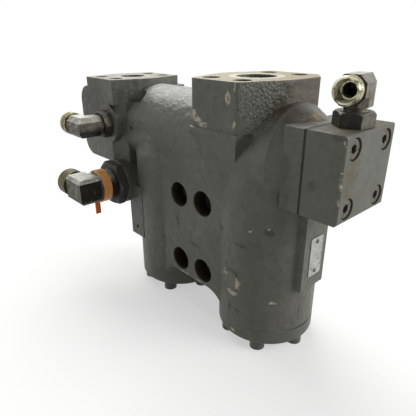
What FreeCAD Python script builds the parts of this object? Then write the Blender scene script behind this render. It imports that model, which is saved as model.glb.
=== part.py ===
import FreeCAD, Part
import os
import re
import Sketcher

# Hose rupture valve for a lifting cylinder, in millimetres with +Z up.
# The origin is the centre of the cylinder port on the rear mounting face. +Y leaves that face, and +X
# runs along the main spool towards the pilot block. Two upright barrels hold the valve poppets, a
# level barrel above them holds the main spool, and a web with four deep screw holes joins them.

os.makedirs("parts", exist_ok=True)
Vector = FreeCAD.Vector
doc = FreeCAD.newDocument("hose_rupture_valve")

# Driving dimensions

SIZES = [
    ("barrelSpacing", 123.0, "between the axes of the two upright barrels"),
    ("barrelRadius", 42.5, "outside of an upright barrel and of its bottom cover"),
    ("barrelShoulder", 20.0, "height over which an upright barrel tapers into the spool barrel"),
    ("bodyDepth", 46.0, "from the rear mounting face to the plane of the barrel axes"),
    ("footDepth", 61.2, "from the cylinder port down to the barrels' bottom faces"),
    ("coverThickness", 14.0, "disc of a bottom cover"),
    ("coverSpigotRadius", 25.0, "recess for a cover's spigot"),
    ("coverSpigotLength", 10.0, "height of a cover's spigot"),
    ("coverScrewInset", 8.5, "cover screws inside the barrel's outside"),
    ("spoolHeight", 82.1, "main spool axis above the cylinder port"),
    ("spoolBarrelRadius", 40.0, "outside of the level barrel"),
    ("spoolBoreRadius", 11.0, "bore that the main spool runs in"),
    ("galleryRadius", 17.0, "ring chambers round the main spool"),
    ("webFrontInset", 5.6, "front pad of the web behind the fronts of the barrels"),
    ("webBackInset", 2.5, "back of the web ahead of the backs of the barrels"),
    ("webBottom", 47.5, "lower edge of the web below the cylinder port"),
    ("webFillet", 12.0, "cast blend under the web to each barrel"),
    ("padHalfWidth", 39.0, "half the width of the rear mounting pad"),
    ("boltSpanNarrow", 31.8, "narrow hole spacing of the 1 1/4 inch high-pressure flange pattern"),
    ("boltSpanLong", 66.7, "long hole spacing of the same pattern"),
    ("bodyHoleRadius", 7.5, "clearance hole for the M14 body screws"),
    ("bodyCounterboreRadius", 11.5, "counterbore for the heads of the body screws"),
    ("bodyCounterboreDepth", 15.0, "depth of that counterbore"),
    ("portRadius", 16.0, "cylinder port and main hose port"),
    ("portGrooveRadius", 22.2, "outside of the face groove round the cylinder port"),
    ("portGrooveWidth", 3.6, "width of that groove"),
    ("portGrooveDepth", 2.8, "depth of that groove"),
    ("flangeTop", 137.8, "main hose flange face above the cylinder port"),
    ("flangeOffset", 39.2, "main hose port beside the cylinder port"),
    ("flangeHalfLength", 47.0, "half the length of the main hose flange"),
    ("flangeEndHalfWidth", 24.0, "half the width of the flange at its ends"),
    ("flangeWaistRadius", 38.5, "round middle of the flange"),
    ("flangeFlatLength", 29.0, "flat on the flange's right side, behind its middle"),
    ("flangeThickness", 24.0, "flange plate"),
    ("flangeFrontDepth", 36.0, "front half of the flange, a solid block"),
    ("flangeTapRadius", 7.0, "M14 threads in the main hose flange"),
    ("flangeTapDepth", 21.0, "depth of those threads"),
    ("apronDrop", 22.0, "cast apron under the flange block"),
    ("apronLedge", 3.0, "upright rim at the top of the apron"),
    ("apronDraft", 24.0, "degrees that the apron slopes back under the rim"),
    ("flangeCorner", 4.0, "rounding of the flange's front corners"),
    ("apronProud", 1.6, "apron ahead of the machined flange front"),
    ("secondOffset", 126.3, "second hose port left of the cylinder port"),
    ("secondSetback", 7.0, "second hose port ahead of the barrel axes"),
    ("secondTop", 127.6, "second hose flange face above the cylinder port"),
    ("secondHalfLength", 40.0, "half the length of the second hose flange"),
    ("secondEndHalfWidth", 25.0, "half its width at the ends"),
    ("secondWaistRadius", 34.0, "its round middle"),
    ("secondThickness", 24.0, "its plate"),
    ("secondPortRadius", 12.5, "second hose port"),
    ("secondSpanNarrow", 27.8, "narrow hole spacing of the 1 inch high-pressure flange pattern"),
    ("secondSpanLong", 57.2, "long hole spacing of the same pattern"),
    ("secondTapRadius", 6.0, "M12 threads in the second hose flange"),
    ("secondTapDepth", 18.0, "depth of those threads"),
    ("headLeft", 168.0, "left end face of the housing from the cylinder port"),
    ("headLength", 58.0, "length of the left head"),
    ("headFront", 47.0, "flat front of the left head ahead of the barrel axes"),
    ("headBack", 36.0, "back of the left head behind the barrel axes"),
    ("headHalfHeight", 36.5, "half the height of the left head"),
    ("headCorner", 16.0, "rounding of the left head's end edges"),
    ("pilotFace", 109.3, "right end face of the housing from the cylinder port"),
    ("pilotBossLength", 17.0, "square boss behind the pilot block"),
    ("pilotBlockLength", 29.3, "pilot block along the spool"),
    ("pilotBlockWidth", 63.3, "pilot block across"),
    ("pilotBlockHeight", 59.3, "pilot block up"),
    ("pilotBlockEdge", 1.2, "chamfer round the block's outer face"),
    ("pilotDrillingRadius", 2.4, "drilling from the pilot port to the piston"),
    ("pilotScrewSpan", 40.0, "square pattern of the pilot block's screws"),
    ("pilotScrewSink", 9.0, "counterbore of those screws"),
    ("pilotPistonRadius", 12.0, "bore of the pilot piston"),
    ("pilotBoreDepth", 21.7, "depth of that bore in the pilot block"),
    ("screwRadius", 4.0, "M8 screws"),
    ("screwPlay", 0.5, "radial play of a screw in a plain hole"),
    ("screwHeadRadius", 6.5, "their socket heads"),
    ("screwHeadHeight", 8.0, "height of those heads"),
    ("screwCounterboreRadius", 7.5, "counterbore for such a head"),
    ("screwEngagement", 14.0, "threads of such a screw in the housing"),
    ("screwSocketRadius", 3.46, "corner radius of the 6 mm hexagon socket"),
    ("screwSocketDepth", 4.0, "depth of that socket"),
    ("capFlangeThickness", 10.0, "flange of the spool end cap"),
    ("capFlangeSize", 62.0, "square flange of the spool end cap"),
    ("capLength", 30.0, "whole length of the spool end cap"),
    ("capRadius", 21.0, "cup of the spool end cap"),
    ("capBoreRadius", 16.0, "spring chamber"),
    ("capScrewSpan", 44.0, "square pattern of the end cap's screws"),
    ("springChamberDepth", 12.0, "spring chamber inside the housing"),
    ("spoolSpringRadius", 11.5, "coil of the spool spring"),
    ("spoolSpringWire", 1.6, "half the thickness of its wire"),
    ("plateProud", 3.2, "nameplate pad proud of the right barrel"),
    ("platePadWidth", 30.0, "width of the nameplate pad"),
    ("platePadBottom", 21.2, "its lower edge below the cylinder port"),
    ("plateWidth", 16.0, "nameplate"),
    ("plateHeight", 34.0, "nameplate"),
    ("plateThickness", 0.6, "nameplate"),
    ("plateMiddle", 6.5, "middle of the nameplate above the cylinder port"),
    ("rivetSpan", 26.0, "between the two nameplate rivets"),
    ("rivetRadius", 1.2, "shank of a nameplate rivet"),
    ("poppetRadius", 18.0, "bore that the load-holding poppet runs in"),
    ("poppetStroke", 8.0, "opening travel of the load-holding poppet"),
    ("seatHeight", 24.0, "load-holding seat above the cylinder port"),
    ("seatBoreRadius", 12.0, "hole through the load-holding seat"),
    ("seatThickness", 10.0, "load-holding seat ring"),
    ("seatSlope", 1.5, "cone at a seat's lower edge"),
    ("poppetCone", 4.0, "length and fall of a poppet's cone"),
    ("poppetWaist", 3.5, "relief of the load-holding poppet under its cone"),
    ("poppetPocketRadius", 11.0, "spring pocket in that poppet"),
    ("poppetPocketDepth", 34.0, "depth of that pocket"),
    ("poppetSpringRadius", 8.5, "coil of its spring"),
    ("poppetSpringWire", 1.5, "half the thickness of that spring's wire"),
    ("checkRadius", 15.0, "bore that the lifting check poppet runs in"),
    ("checkSeatHeight", 12.0, "check seat above the cylinder port"),
    ("checkSeatBoreRadius", 8.0, "hole through the check seat"),
    ("checkSeatThickness", 8.0, "check seat ring"),
    ("checkFlangeLift", 27.0, "check poppet's flange above the cover's spigot"),
    ("checkFlange", 7.0, "that flange"),
    ("checkSpringRadius", 10.5, "coil of the check spring"),
    ("checkSpringWire", 1.25, "half the thickness of its wire"),
    ("runningClearance", 0.03, "radial clearance of a sliding land"),
    ("threadClearance", 0.05, "radial clearance of a thread in its hole"),
    ("seatClearance", 0.1, "gap left between a cone and its seat"),
    ("pilotElbowTurn", 9.0, "degrees that the pilot elbow's outlet turns to the right"),
    ("pilotForging", 19.6, "square forging of the pilot elbow"),
    ("pilotChamfer", 4.9, "chamfer along the forging's long edges"),
    ("pilotArm", 9.3, "half the forging's width at its outlet leg"),
    ("pilotStraight", 1.7, "straight forging between the neck and the outlet leg"),
    ("pilotShoulder", 2.6, "outlet leg past the forging's side"),
    ("pilotStud", 8.0, "its M16 stud"),
    ("pilotStudDepth", 11.0, "stud below the boss face"),
    ("pilotNut", 10.0, "thickness of its lock nut"),
    ("pilotFlats", 24.0, "across the flats of that nut"),
    ("pilotNeck", 3.0, "bare neck above the nut"),
    ("pilotNeckRadius", 7.3, "that neck"),
    ("pilotOutlet", 9.0, "its M18 tube end"),
    ("pilotThread", 8.0, "length of the tube end's thread"),
    ("pilotReach", 21.0, "tube end from the stud's axis"),
    ("pilotTube", 4.8, "its drilling"),
    ("pilotCone", 7.2, "mouth of the 24 degree cone"),
    ("upperForging", 19.6, "square forging of the upper elbow"),
    ("upperChamfer", 4.6, "chamfer along the forging's long edges"),
    ("upperArm", 9.8, "half the forging's width at its outlet leg"),
    ("upperStraight", 4.3, "straight forging between the neck and the outlet leg"),
    ("upperShoulder", 5.7, "outlet leg past the forging's side"),
    ("upperStud", 9.0, "its M18 stud"),
    ("upperStudDepth", 13.0, "stud below the boss face"),
    ("upperNut", 8.0, "thickness of its lock nut"),
    ("upperFlats", 24.0, "across the flats of that nut"),
    ("upperNeck", 2.5, "bare neck above the nut"),
    ("upperNeckRadius", 8.2, "that neck"),
    ("upperOutlet", 11.0, "its M22 tube end"),
    ("upperThread", 11.0, "length of the tube end's thread"),
    ("upperReach", 30.0, "tube end from the stud's axis"),
    ("upperTube", 6.0, "its drilling"),
    ("upperCone", 8.5, "mouth of the 24 degree cone"),
    ("lowerForging", 25.2, "square forging of the lower elbow"),
    ("lowerChamfer", 3.0, "chamfer along the forging's long edges"),
    ("lowerArm", 11.5, "half the forging's width at its outlet leg"),
    ("lowerStraight", 0.8, "straight forging between the neck and the outlet leg"),
    ("lowerShoulder", 4.4, "outlet leg past the forging's side"),
    ("lowerStud", 13.5, "its M27 stud"),
    ("lowerStudDepth", 14.0, "stud below the boss face"),
    ("lowerNut", 9.0, "thickness of its lock nut"),
    ("lowerFlats", 41.0, "across the flats of that nut"),
    ("lowerNeck", 14.8, "bare neck above the nut"),
    ("lowerNeckRadius", 15.2, "that neck"),
    ("lowerOutlet", 13.5, "its M27 tube end"),
    ("lowerThread", 15.0, "length of the tube end's thread"),
    ("lowerReach", 35.0, "tube end from the stud's axis"),
    ("lowerTube", 9.0, "its drilling"),
    ("lowerCone", 11.0, "mouth of the 24 degree cone"),
    ("sealSection", 1.1, "half the section of an elbow's seal"),
    ("tieWidth", 8.5, "cable tie band"),
    ("tieThickness", 1.4, "cable tie band"),
    ("tieTail", 17.6, "cut tail of the cable tie beyond its band"),
    ("tieTurn", 11.0, "its lock and tail beside the lower elbow's stud axis"),
    ("upperPortOffset", 114.8, "upper leakage port left of the cylinder port"),
    ("upperPortHeight", 84.8, "upper leakage port above the cylinder port"),
    ("lowerPortOffset", 103.8, "lower port left of the cylinder port"),
    ("lowerPortHeight", 26.3, "lower port above the cylinder port"),
    ("portBossProud", 2.0, "port bosses proud of the left head's front"),
    ("upperBossRadius", 19.5, "boss round the upper leakage port"),
    ("lowerBossRadius", 23.0, "boss round the lower port"),
    ("portDrillingRadius", 5.0, "drilling behind each of those two ports"),
    ("lugWidth", 22.0, "lug on the left barrel"),
    ("lugHeight", 56.5, "lug down from the lower port's axis"),
    ("castBossRadius", 10.0, "round cast boss on the right barrel"),
    ("castBossDrop", 21.0, "that boss below the cylinder port"),
    ("pocketRadius", 9.0, "cast pocket beside the second flange"),
    ("pocketOffset", 88.0, "that pocket left of the cylinder port"),
    ("pocketSetback", 28.0, "that pocket ahead of the barrel axes"),
    ("pocketFloor", 106.0, "its floor above the cylinder port"),
    ("gaugeHoleOffset", 84.0, "small blind hole left of the cylinder port"),
    ("coverEdge", 3.0, "rounding of a cover's lower edge"),
    ("spoolNeckRadius", 7.0, "necks between the spool's lands"),
    ("spoolTailRadius", 6.0, "spool tail that carries the spring seat"),
]

sheet = doc.addObject("Spreadsheet::Sheet", "sizes")
for row, (alias, value, note) in enumerate(SIZES, start=1):
    sheet.set(f"A{row}", alias)
    sheet.set(f"B{row}", str(value))
    sheet.set(f"C{row}", note)
    sheet.setAlias(f"B{row}", alias)
doc.recompute()
ALIASES = {alias for alias, value, note in SIZES}

# Places that several sub-parts share, as formulas over the sizes

AXIS_Y = "-bodyDepth"
WEB_FRONT = "-bodyDepth-barrelRadius+webFrontInset"
WEB_BACK = "-bodyDepth+barrelRadius-webBackInset"
RIGHT_X = "barrelSpacing/2"
LEFT_X = "-barrelSpacing/2"
FOOT_Z = "-footDepth"
SPIGOT_TOP = "-footDepth+coverSpigotLength"
BLOCK_OUTER = "pilotFace+pilotBlockLength"
BLOCK_TOP = "spoolHeight+pilotBlockHeight/2"
CAP_OUTER = "-headLeft-capLength"
CHAMBER_FLOOR = "-headLeft+springChamberDepth"
HEAD_FRONT = "-bodyDepth-headFront"
BOSS_FRONT = "-bodyDepth-headFront-portBossProud"
PLATE_FACE = "barrelSpacing/2+barrelRadius+plateProud"
PLATE_Y = "-bodyDepth+1"
HOSE_GALLERY_LEFT = "flangeOffset-portRadius+1.5"
SEAL_SPACE = "2*sealSection+0.1"
SEAT_SLOPE = "seatSlope"
COVER_CIRCLE = "(barrelRadius-coverScrewInset)"

COVER_ANGLES = range(0, 360, 60)
QUARTER_SIGNS = [(-1, -1), (1, -1), (1, 1), (-1, 1)]
TURN_TO = {
    "X": FreeCAD.Rotation(Vector(0, 1, 0), 90),
    "Y": FreeCAD.Rotation(Vector(1, 0, 0), -90),
    "Z": FreeCAD.Rotation(),
}


# Helpers that bind a feature to the sheet

def formula(text):
    """A formula with every size name pointed at the sheet."""
    def point(match):
        word = match.group()
        return "sizes." + word if word in ALIASES else word
    return re.sub(r"[A-Za-z][A-Za-z0-9]*", point, str(text))


def number(text):
    """The value of a formula now."""
    result = sheet.evalExpression(formula(text))
    return float(getattr(result, "Value", result))


def bind(feature, **properties):
    """Tie properties to formulas."""
    for name, text in properties.items():
        feature.setExpression(name, formula(text))


def put(feature, base, rotation=None):
    """Place a feature at three formulas, with a rotation."""
    if rotation is not None:
        feature.Placement = FreeCAD.Placement(Vector(), rotation)
    for letter, text in zip("xyz", base):
        feature.setExpression("Placement.Base." + letter, formula(text))


def along_axis(along, start, across):
    """The three coordinates of a point given along one axis and across it."""
    places = {"X": (start, across[0], across[1]), "Y": (across[0], start, across[1])}
    return places.get(along, (across[0], across[1], start))


def new_body(name):
    body = doc.addObject("PartDesign::Body", name)
    body.Label = name
    return body


def round_bar(body, name, along, radius, start, end, across, cut=False, end_radius=None):
    """A cylinder or cone of the body, added or cut, from start to end along one axis."""
    action = "Subtractive" if cut else "Additive"
    shape = "Cylinder" if end_radius is None else "Cone"
    feature = body.newObject("PartDesign::" + action + shape, name)
    feature.Refine = False
    if end_radius is None:
        bind(feature, Radius=radius)
    else:
        bind(feature, Radius1=radius, Radius2=end_radius)
    bind(feature, Height=f"({end})-({start})")
    put(feature, along_axis(along, start, across), TURN_TO[along])
    return feature


def block(body, name, low, high, cut=False):
    """A box of the body between two corners."""
    feature = body.newObject("PartDesign::" + ("Subtractive" if cut else "Additive") + "Box", name)
    spans = [f"({b})-({a})" for a, b in zip(low, high)]
    bind(feature, Length=spans[0], Width=spans[1], Height=spans[2])
    put(feature, low)
    return feature


def outline(body, name, plane, offset, points):
    """A closed sketch of straight lines through points given as formulas."""
    sketch = body.newObject("Sketcher::SketchObject", name)
    origin_plane = [item for item in body.Origin.OriginFeatures if item.Role == plane][0]
    sketch.AttachmentSupport = [(origin_plane, "")]
    sketch.MapMode = "FlatFace"
    sketch.setExpression("AttachmentOffset.Base.z", formula(offset))
    places = [(number(x), number(y)) for x, y in points]
    count = len(points)
    for index in range(count):
        start = Vector(*places[index], 0)
        end = Vector(*places[(index + 1) % count], 0)
        sketch.addGeometry(Part.LineSegment(start, end))
    for index in range(count):
        sketch.addConstraint(Sketcher.Constraint("Coincident", index, 2, (index + 1) % count, 1))
    for index, point in enumerate(points):
        for kind, text, value, axis in zip(("DistanceX", "DistanceY"), point, places[index], (-2, -1)):
            if text == "0":
                sketch.addConstraint(Sketcher.Constraint("PointOnObject", index, 1, axis))
            else:
                place = sketch.addConstraint(Sketcher.Constraint(kind, -1, 1, index, 1, value))
                sketch.setExpression(f"Constraints[{place}]", formula(text))
    return sketch


def pad(body, name, plane, offset, length, points, reverse=False):
    """A prism on an outline."""
    sketch = outline(body, name + "_outline", plane, offset, points)
    feature = body.newObject("PartDesign::Pad", name)
    feature.Profile = sketch
    bind(feature, Length=length)
    feature.Reversed = reverse
    return feature


def turned(name, along, across, profile):
    """A body turned about an axis, from a profile of places along the axis and radii."""
    body = new_body(name)
    points = [(radius, place) for place, radius in profile]
    sketch = outline(body, name + "_profile", "XZ_Plane", "0", points)
    feature = body.newObject("PartDesign::Revolution", name + "_turned")
    feature.Profile = sketch
    feature.ReferenceAxis = (sketch, ["V_Axis"])
    feature.Angle = 360
    put(body, along_axis(along, "0", across), TURN_TO[along])
    return body


def soften(body, name, edges, radius, kind="Fillet"):
    """A fillet or chamfer on the edges of the body's last feature that a test picks."""
    doc.recompute()
    base = body.Tip
    picked = [f"Edge{index}" for index, edge in enumerate(base.Shape.Edges, start=1) if edges(edge)]
    feature = body.newObject("PartDesign::" + kind, name)
    feature.Base = (base, picked)
    if kind == "Fillet":
        bind(feature, Radius=radius)
    else:
        bind(feature, Size=radius)
    return feature


def part_piece(kind, name, base=None, rotation=None, **properties):
    """A primitive of the document with its sizes bound to the sheet."""
    piece = doc.addObject("Part::" + kind, name)
    bind(piece, **properties)
    if base is not None:
        put(piece, base, rotation)
    return piece


def joined(kind, name, base, tool):
    """A boolean of two pieces."""
    result = doc.addObject("Part::" + kind, name)
    result.Base = base
    result.Tool = tool
    return result


def group(name, pieces):
    """Several separate solids in one sub-part."""
    compound = doc.addObject("Part::Compound", name)
    compound.Label = name
    compound.Links = pieces
    return compound


# Screws and springs

def socket_screw(name, along, seat, tip, across, head_side):
    """An M8 socket screw: its head stands on the seat and its shank runs to the tip."""
    head_start = seat if head_side > 0 else f"({seat})-screwHeadHeight"
    low, high = (tip, seat) if head_side > 0 else (seat, tip)
    turn = TURN_TO[along]
    head = part_piece("Cylinder", name + "_head", along_axis(along, head_start, across), turn,
                      Radius="screwHeadRadius", Height="screwHeadHeight")
    shank = part_piece("Cylinder", name + "_shank", along_axis(along, low, across), turn,
                       Radius="screwRadius", Height=f"({high})-({low})")
    if head_side > 0:
        socket_start = f"({seat})+screwHeadHeight-screwSocketDepth"
    else:
        socket_start = f"({seat})-screwHeadHeight"
    socket = part_piece("Prism", name + "_socket", along_axis(along, socket_start, across), turn,
                        Circumradius="screwSocketRadius", Height="screwSocketDepth")
    solid = joined("Fuse", name + "_solid", head, shank)
    return joined("Cut", name, solid, socket)


def coil_spring(name, along, across, start, end, coil_radius, wire_radius, turns):
    """A coil of round wire between two places along an axis, with the wire's half-section inside them."""
    helix = part_piece("Helix", name + "_centreline", Radius=coil_radius,
                       Height=f"({end})-({start})-2*{wire_radius}",
                       Pitch=f"(({end})-({start})-2*{wire_radius})/{turns}")
    wire = part_piece("Circle", name + "_wire", (coil_radius, "0", "0"),
                      FreeCAD.Rotation(Vector(1, 0, 0), 90), Radius=wire_radius)
    sweep = doc.addObject("Part::Sweep", name)
    sweep.Label = name
    sweep.Sections = [wire]
    sweep.Spine = (helix, ["Edge1"])
    sweep.Solid = True
    sweep.Frenet = True
    put(sweep, along_axis(along, f"({start})+{wire_radius}", across), TURN_TO[along])
    return sweep


# Housing

def tangent_point(half_width, half_length, radius):
    """Where the line from a flange's corner touches its round middle, right of it and towards the corner."""
    reach = f"sqrt(({half_width})^2+({half_length})^2)"
    angle = f"(atan2({half_length};{half_width})-acos(({radius})/{reach}))"
    return f"({radius})*cos({angle})", f"({radius})*sin({angle})"


def flange_outline(centre_x, centre_y, half_width, half_length, radius, flat=None):
    """Corners of a hose flange: narrow ends that widen to a round middle."""
    across, ahead = tangent_point(half_width, half_length, radius)
    right = [(across, "-" + ahead)]
    right += [(radius, "0"), (radius, flat)] if flat else [(radius, "0"), (across, ahead)]
    local = [(f"-({half_width})", f"-({half_length})"), (half_width, f"-({half_length})")] + right
    local += [(half_width, half_length), (f"-({half_width})", half_length)]
    local += [("-" + across, ahead), ("-" + across, "-" + ahead)]
    return [(f"({centre_x})+({x})", f"({centre_y})+({y})") for x, y in local]


def housing_castings(body):
    """The solid casting before any hole is cut."""
    block(body, "web", (LEFT_X, WEB_FRONT, "-webBottom"), (RIGHT_X, WEB_BACK, "spoolHeight"))
    shoulder = "spoolHeight-barrelShoulder"
    for side, centre in (("right", RIGHT_X), ("left", LEFT_X)):
        round_bar(body, side + "_barrel", "Z", "barrelRadius", FOOT_Z, shoulder, (centre, AXIS_Y))

    def under_web(edge):
        box = edge.BoundBox
        level = box.ZLength < 0.01 and abs(box.ZMin + number("webBottom")) < 0.01
        return level and box.XLength < number("barrelRadius")

    soften(body, "web_blends", under_web, "webFillet")
    for side, centre in (("right", RIGHT_X), ("left", LEFT_X)):
        round_bar(body, side + "_shoulder", "Z", "barrelRadius", shoulder, "spoolHeight+1",
                  (centre, AXIS_Y), end_radius="spoolBarrelRadius-3")
    boss_start = "pilotFace-pilotBossLength"
    round_bar(body, "spool_barrel", "X", "spoolBarrelRadius", "-headLeft+headLength/2",
              f"{boss_start}-8", (AXIS_Y, "spoolHeight"))
    round_bar(body, "spool_barrel_end", "X", "spoolBarrelRadius", f"{boss_start}-8", "pilotFace-3",
              (AXIS_Y, "spoolHeight"), end_radius="pilotBlockHeight/2-2")
    block(body, "pilot_boss", (boss_start, f"{AXIS_Y}-pilotBlockWidth/2", "spoolHeight-pilotBlockHeight/2"),
          ("pilotFace", f"{AXIS_Y}+pilotBlockWidth/2", BLOCK_TOP))
    block(body, "rear_pad", ("-padHalfWidth", f"{AXIS_Y}+20", "-webBottom"),
          ("padHalfWidth", "0", "webBottom"))


def housing_flanges(body):
    """The two hose flanges, the apron under the first and the left head under the second."""
    plan = flange_outline("flangeOffset", AXIS_Y, "flangeEndHalfWidth", "flangeHalfLength",
                          "flangeWaistRadius", "flangeFlatLength")
    pad(body, "hose_flange", "XY_Plane", "flangeTop", "flangeThickness", plan, reverse=True)
    round_bar(body, "hose_flange_middle", "Z", "flangeWaistRadius", "flangeTop-flangeFrontDepth",
              "flangeTop", ("flangeOffset", AXIS_Y))
    across, ahead = tangent_point("flangeEndHalfWidth", "flangeHalfLength", "flangeWaistRadius")
    front = [("-flangeEndHalfWidth", "-flangeHalfLength"), ("flangeEndHalfWidth", "-flangeHalfLength"),
             (across, "-" + ahead), ("-" + across, "-" + ahead)]
    front = [(f"flangeOffset+({x})", f"{AXIS_Y}+({y})") for x, y in front]
    pad(body, "hose_flange_front", "XY_Plane", "flangeTop", "flangeFrontDepth", front, reverse=True)

    def front_corner(edge):
        box = edge.BoundBox
        upright = box.XLength < 0.01 and box.YLength < 0.01 and box.ZLength > number("flangeThickness") - 0.1
        return upright and abs(box.YMin - number(f"{AXIS_Y}-flangeHalfLength")) < 0.01

    soften(body, "hose_flange_corners", front_corner, "flangeCorner")
    sides = [f"flangeOffset{sign}(flangeEndHalfWidth+apronProud)" for sign in "-+"]
    apron_face = f"{AXIS_Y}-flangeHalfLength-apronProud"
    apron = [(sides[0], apron_face), (sides[1], apron_face), (sides[1], AXIS_Y), (sides[0], AXIS_Y)]
    pad(body, "apron_ledge", "XY_Plane", "flangeTop-flangeFrontDepth", "apronLedge", apron, reverse=True)
    slope = pad(body, "apron", "XY_Plane", "flangeTop-flangeFrontDepth-apronLedge", "apronDrop", apron,
                reverse=True)
    bind(slope, TaperAngle="-apronDraft")

    head_low = "spoolHeight-headHalfHeight"
    head_top = "spoolHeight+headHalfHeight"
    head_right = "-headLeft+headLength"
    head = [("-headLeft", f"{AXIS_Y}+headBack"), ("-headLeft", HEAD_FRONT), (head_right, HEAD_FRONT),
            (f"{head_right}+16", f"{HEAD_FRONT}+9"), (f"{head_right}+16", f"{AXIS_Y}+headBack")]
    pad(body, "left_head", "XY_Plane", head_low, "2*headHalfHeight", head)

    def end_edge(edge):
        box = edge.BoundBox
        level = min(abs(box.ZMin - number(head_low)), abs(box.ZMin - number(head_top))) < 0.01
        straight = box.ZLength < 0.01 and box.XLength < 0.01
        return level and straight and abs(box.XMin + number("headLeft")) < 0.01

    soften(body, "left_head_rounding", end_edge, "headCorner")
    middle = ("-secondOffset", f"{AXIS_Y}-secondSetback")
    plan = flange_outline(*middle, "secondEndHalfWidth", "secondHalfLength", "secondWaistRadius")
    pad(body, "second_flange", "XY_Plane", "secondTop", "secondThickness", plan, reverse=True)
    round_bar(body, "second_flange_middle", "Z", "secondWaistRadius", "secondTop-secondThickness",
              "secondTop", middle)
    round_bar(body, "cast_pocket", "Z", "pocketRadius", "pocketFloor", "secondTop",
              ("-pocketOffset", f"{AXIS_Y}-pocketSetback"), cut=True)


def housing_bosses(body):
    """Port bosses on the left head, the lug below them, the nameplate pad and the round cast boss."""
    round_bar(body, "upper_port_boss", "Y", "upperBossRadius", BOSS_FRONT, AXIS_Y,
              ("-upperPortOffset", "upperPortHeight"))
    round_bar(body, "lower_port_boss", "Y", "lowerBossRadius", BOSS_FRONT, AXIS_Y,
              ("-lowerPortOffset", "lowerPortHeight"))
    lug_front = f"{AXIS_Y}-barrelRadius+0.5"
    block(body, "lug", (f"{LEFT_X}-9-lugWidth", lug_front, "lowerPortHeight-lugHeight"),
          (f"{LEFT_X}-9", AXIS_Y, "lowerPortHeight"))
    block(body, "nameplate_pad", (f"{RIGHT_X}+28", f"{AXIS_Y}-platePadWidth/2", "-platePadBottom"),
          (PLATE_FACE, f"{AXIS_Y}+platePadWidth/2", "spoolHeight-pilotBlockHeight/2+1"))
    round_bar(body, "cast_boss", "Y", "castBossRadius", f"{AXIS_Y}-barrelRadius-1",
              f"{AXIS_Y}-barrelRadius+12", (f"{RIGHT_X}-4.5", "-castBossDrop"))


def drill(tools, name, along, radius, start, end, across):
    """One drill, bore or thread of the housing."""
    tools.append(part_piece("Cylinder", name, along_axis(along, start, across), TURN_TO[along],
                            Radius=radius, Height=f"({end})-({start})"))


def bolt_tools():
    """The body screw holes, with their counterbores in the front pad."""
    tools = []
    front = WEB_FRONT
    for index, (sx, sy) in enumerate(QUARTER_SIGNS):
        place = (f"{sx}*boltSpanNarrow/2", f"{sy}*boltSpanLong/2")
        drill(tools, f"body_hole_{index}", "Y", "bodyHoleRadius", front, "0", place)
        drill(tools, f"body_counterbore_{index}", "Y", "bodyCounterboreRadius", f"{front}-8",
              f"{front}+bodyCounterboreDepth", place)
    return tools


def bore_tools():
    """The three main ports, with the bores and drillings that lead from them."""
    tools = []
    spool_axis = (AXIS_Y, "spoolHeight")
    drill(tools, "cylinder_port", "Y", "portRadius", f"{AXIS_Y}-portRadius", "0", ("0", "0"))
    drill(tools, "hose_port", "Z", "portRadius", "spoolHeight+galleryRadius-4", "flangeTop",
          ("flangeOffset", AXIS_Y))
    drill(tools, "second_port", "Z", "secondPortRadius", "spoolHeight+galleryRadius-4", "secondTop",
          ("-secondOffset", f"{AXIS_Y}-secondSetback"))
    drill(tools, "spool_bore", "X", "spoolBoreRadius", "-headLeft", "pilotFace", spool_axis)
    drill(tools, "spring_chamber", "X", "capBoreRadius", "-headLeft", CHAMBER_FLOOR, spool_axis)
    drill(tools, "second_gallery", "X", "galleryRadius", "-secondOffset-14", "-secondOffset+14", spool_axis)
    drill(tools, "check_gallery", "X", "galleryRadius-2", f"{LEFT_X}-6", f"{LEFT_X}+6", spool_axis)
    drill(tools, "hose_gallery", "X", "galleryRadius", HOSE_GALLERY_LEFT, "flangeOffset+10", spool_axis)
    drill(tools, "poppet_gallery", "X", "galleryRadius-2", f"{RIGHT_X}-8", f"{RIGHT_X}+8", spool_axis)
    right = (RIGHT_X, AXIS_Y)
    left = (LEFT_X, AXIS_Y)
    drill(tools, "right_cover_recess", "Z", "coverSpigotRadius", FOOT_Z, SPIGOT_TOP, right)
    drill(tools, "left_cover_recess", "Z", "coverSpigotRadius", FOOT_Z, SPIGOT_TOP, left)
    drill(tools, "poppet_bore", "Z", "poppetRadius", FOOT_Z, "seatHeight+seatThickness", right)
    drill(tools, "poppet_chamber", "Z", "poppetRadius+4", "-portRadius+2", "seatHeight-2", right)
    drill(tools, "poppet_outlet", "Z", "8", "seatHeight", "spoolHeight", right)
    drill(tools, "check_bore", "Z", "checkRadius", FOOT_Z, "checkSeatHeight+checkSeatThickness", left)
    drill(tools, "check_inlet", "Z", "6", "checkSeatHeight", "spoolHeight", left)
    drill(tools, "cross_drilling_right", "X", "portRadius-3", "0", RIGHT_X, (AXIS_Y, "0"))
    drill(tools, "cross_drilling_left", "X", "9", LEFT_X, "0", (AXIS_Y, "0"))
    upper = ("-upperPortOffset", "upperPortHeight")
    lower = ("-lowerPortOffset", "lowerPortHeight")
    for name, place in (("upper", upper), ("lower", lower)):
        drill(tools, name + "_port_thread", "Y", f"{name}Stud+threadClearance", BOSS_FRONT,
              f"{BOSS_FRONT}+{name}StudDepth+3", place)
        drill(tools, name + "_port_spotface", "Y", f"{name}Stud+threadClearance+{SEAL_SPACE}", BOSS_FRONT,
              f"{BOSS_FRONT}+{SEAL_SPACE}", place)
        drill(tools, name + "_port_drilling", "Y", "portDrillingRadius", BOSS_FRONT, f"{AXIS_Y}-4", place)
    drill(tools, "lower_cross_drilling", "X", "portDrillingRadius-0.5", "-lowerPortOffset", LEFT_X,
          (f"{AXIS_Y}-8", "lowerPortHeight"))
    return tools


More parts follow.
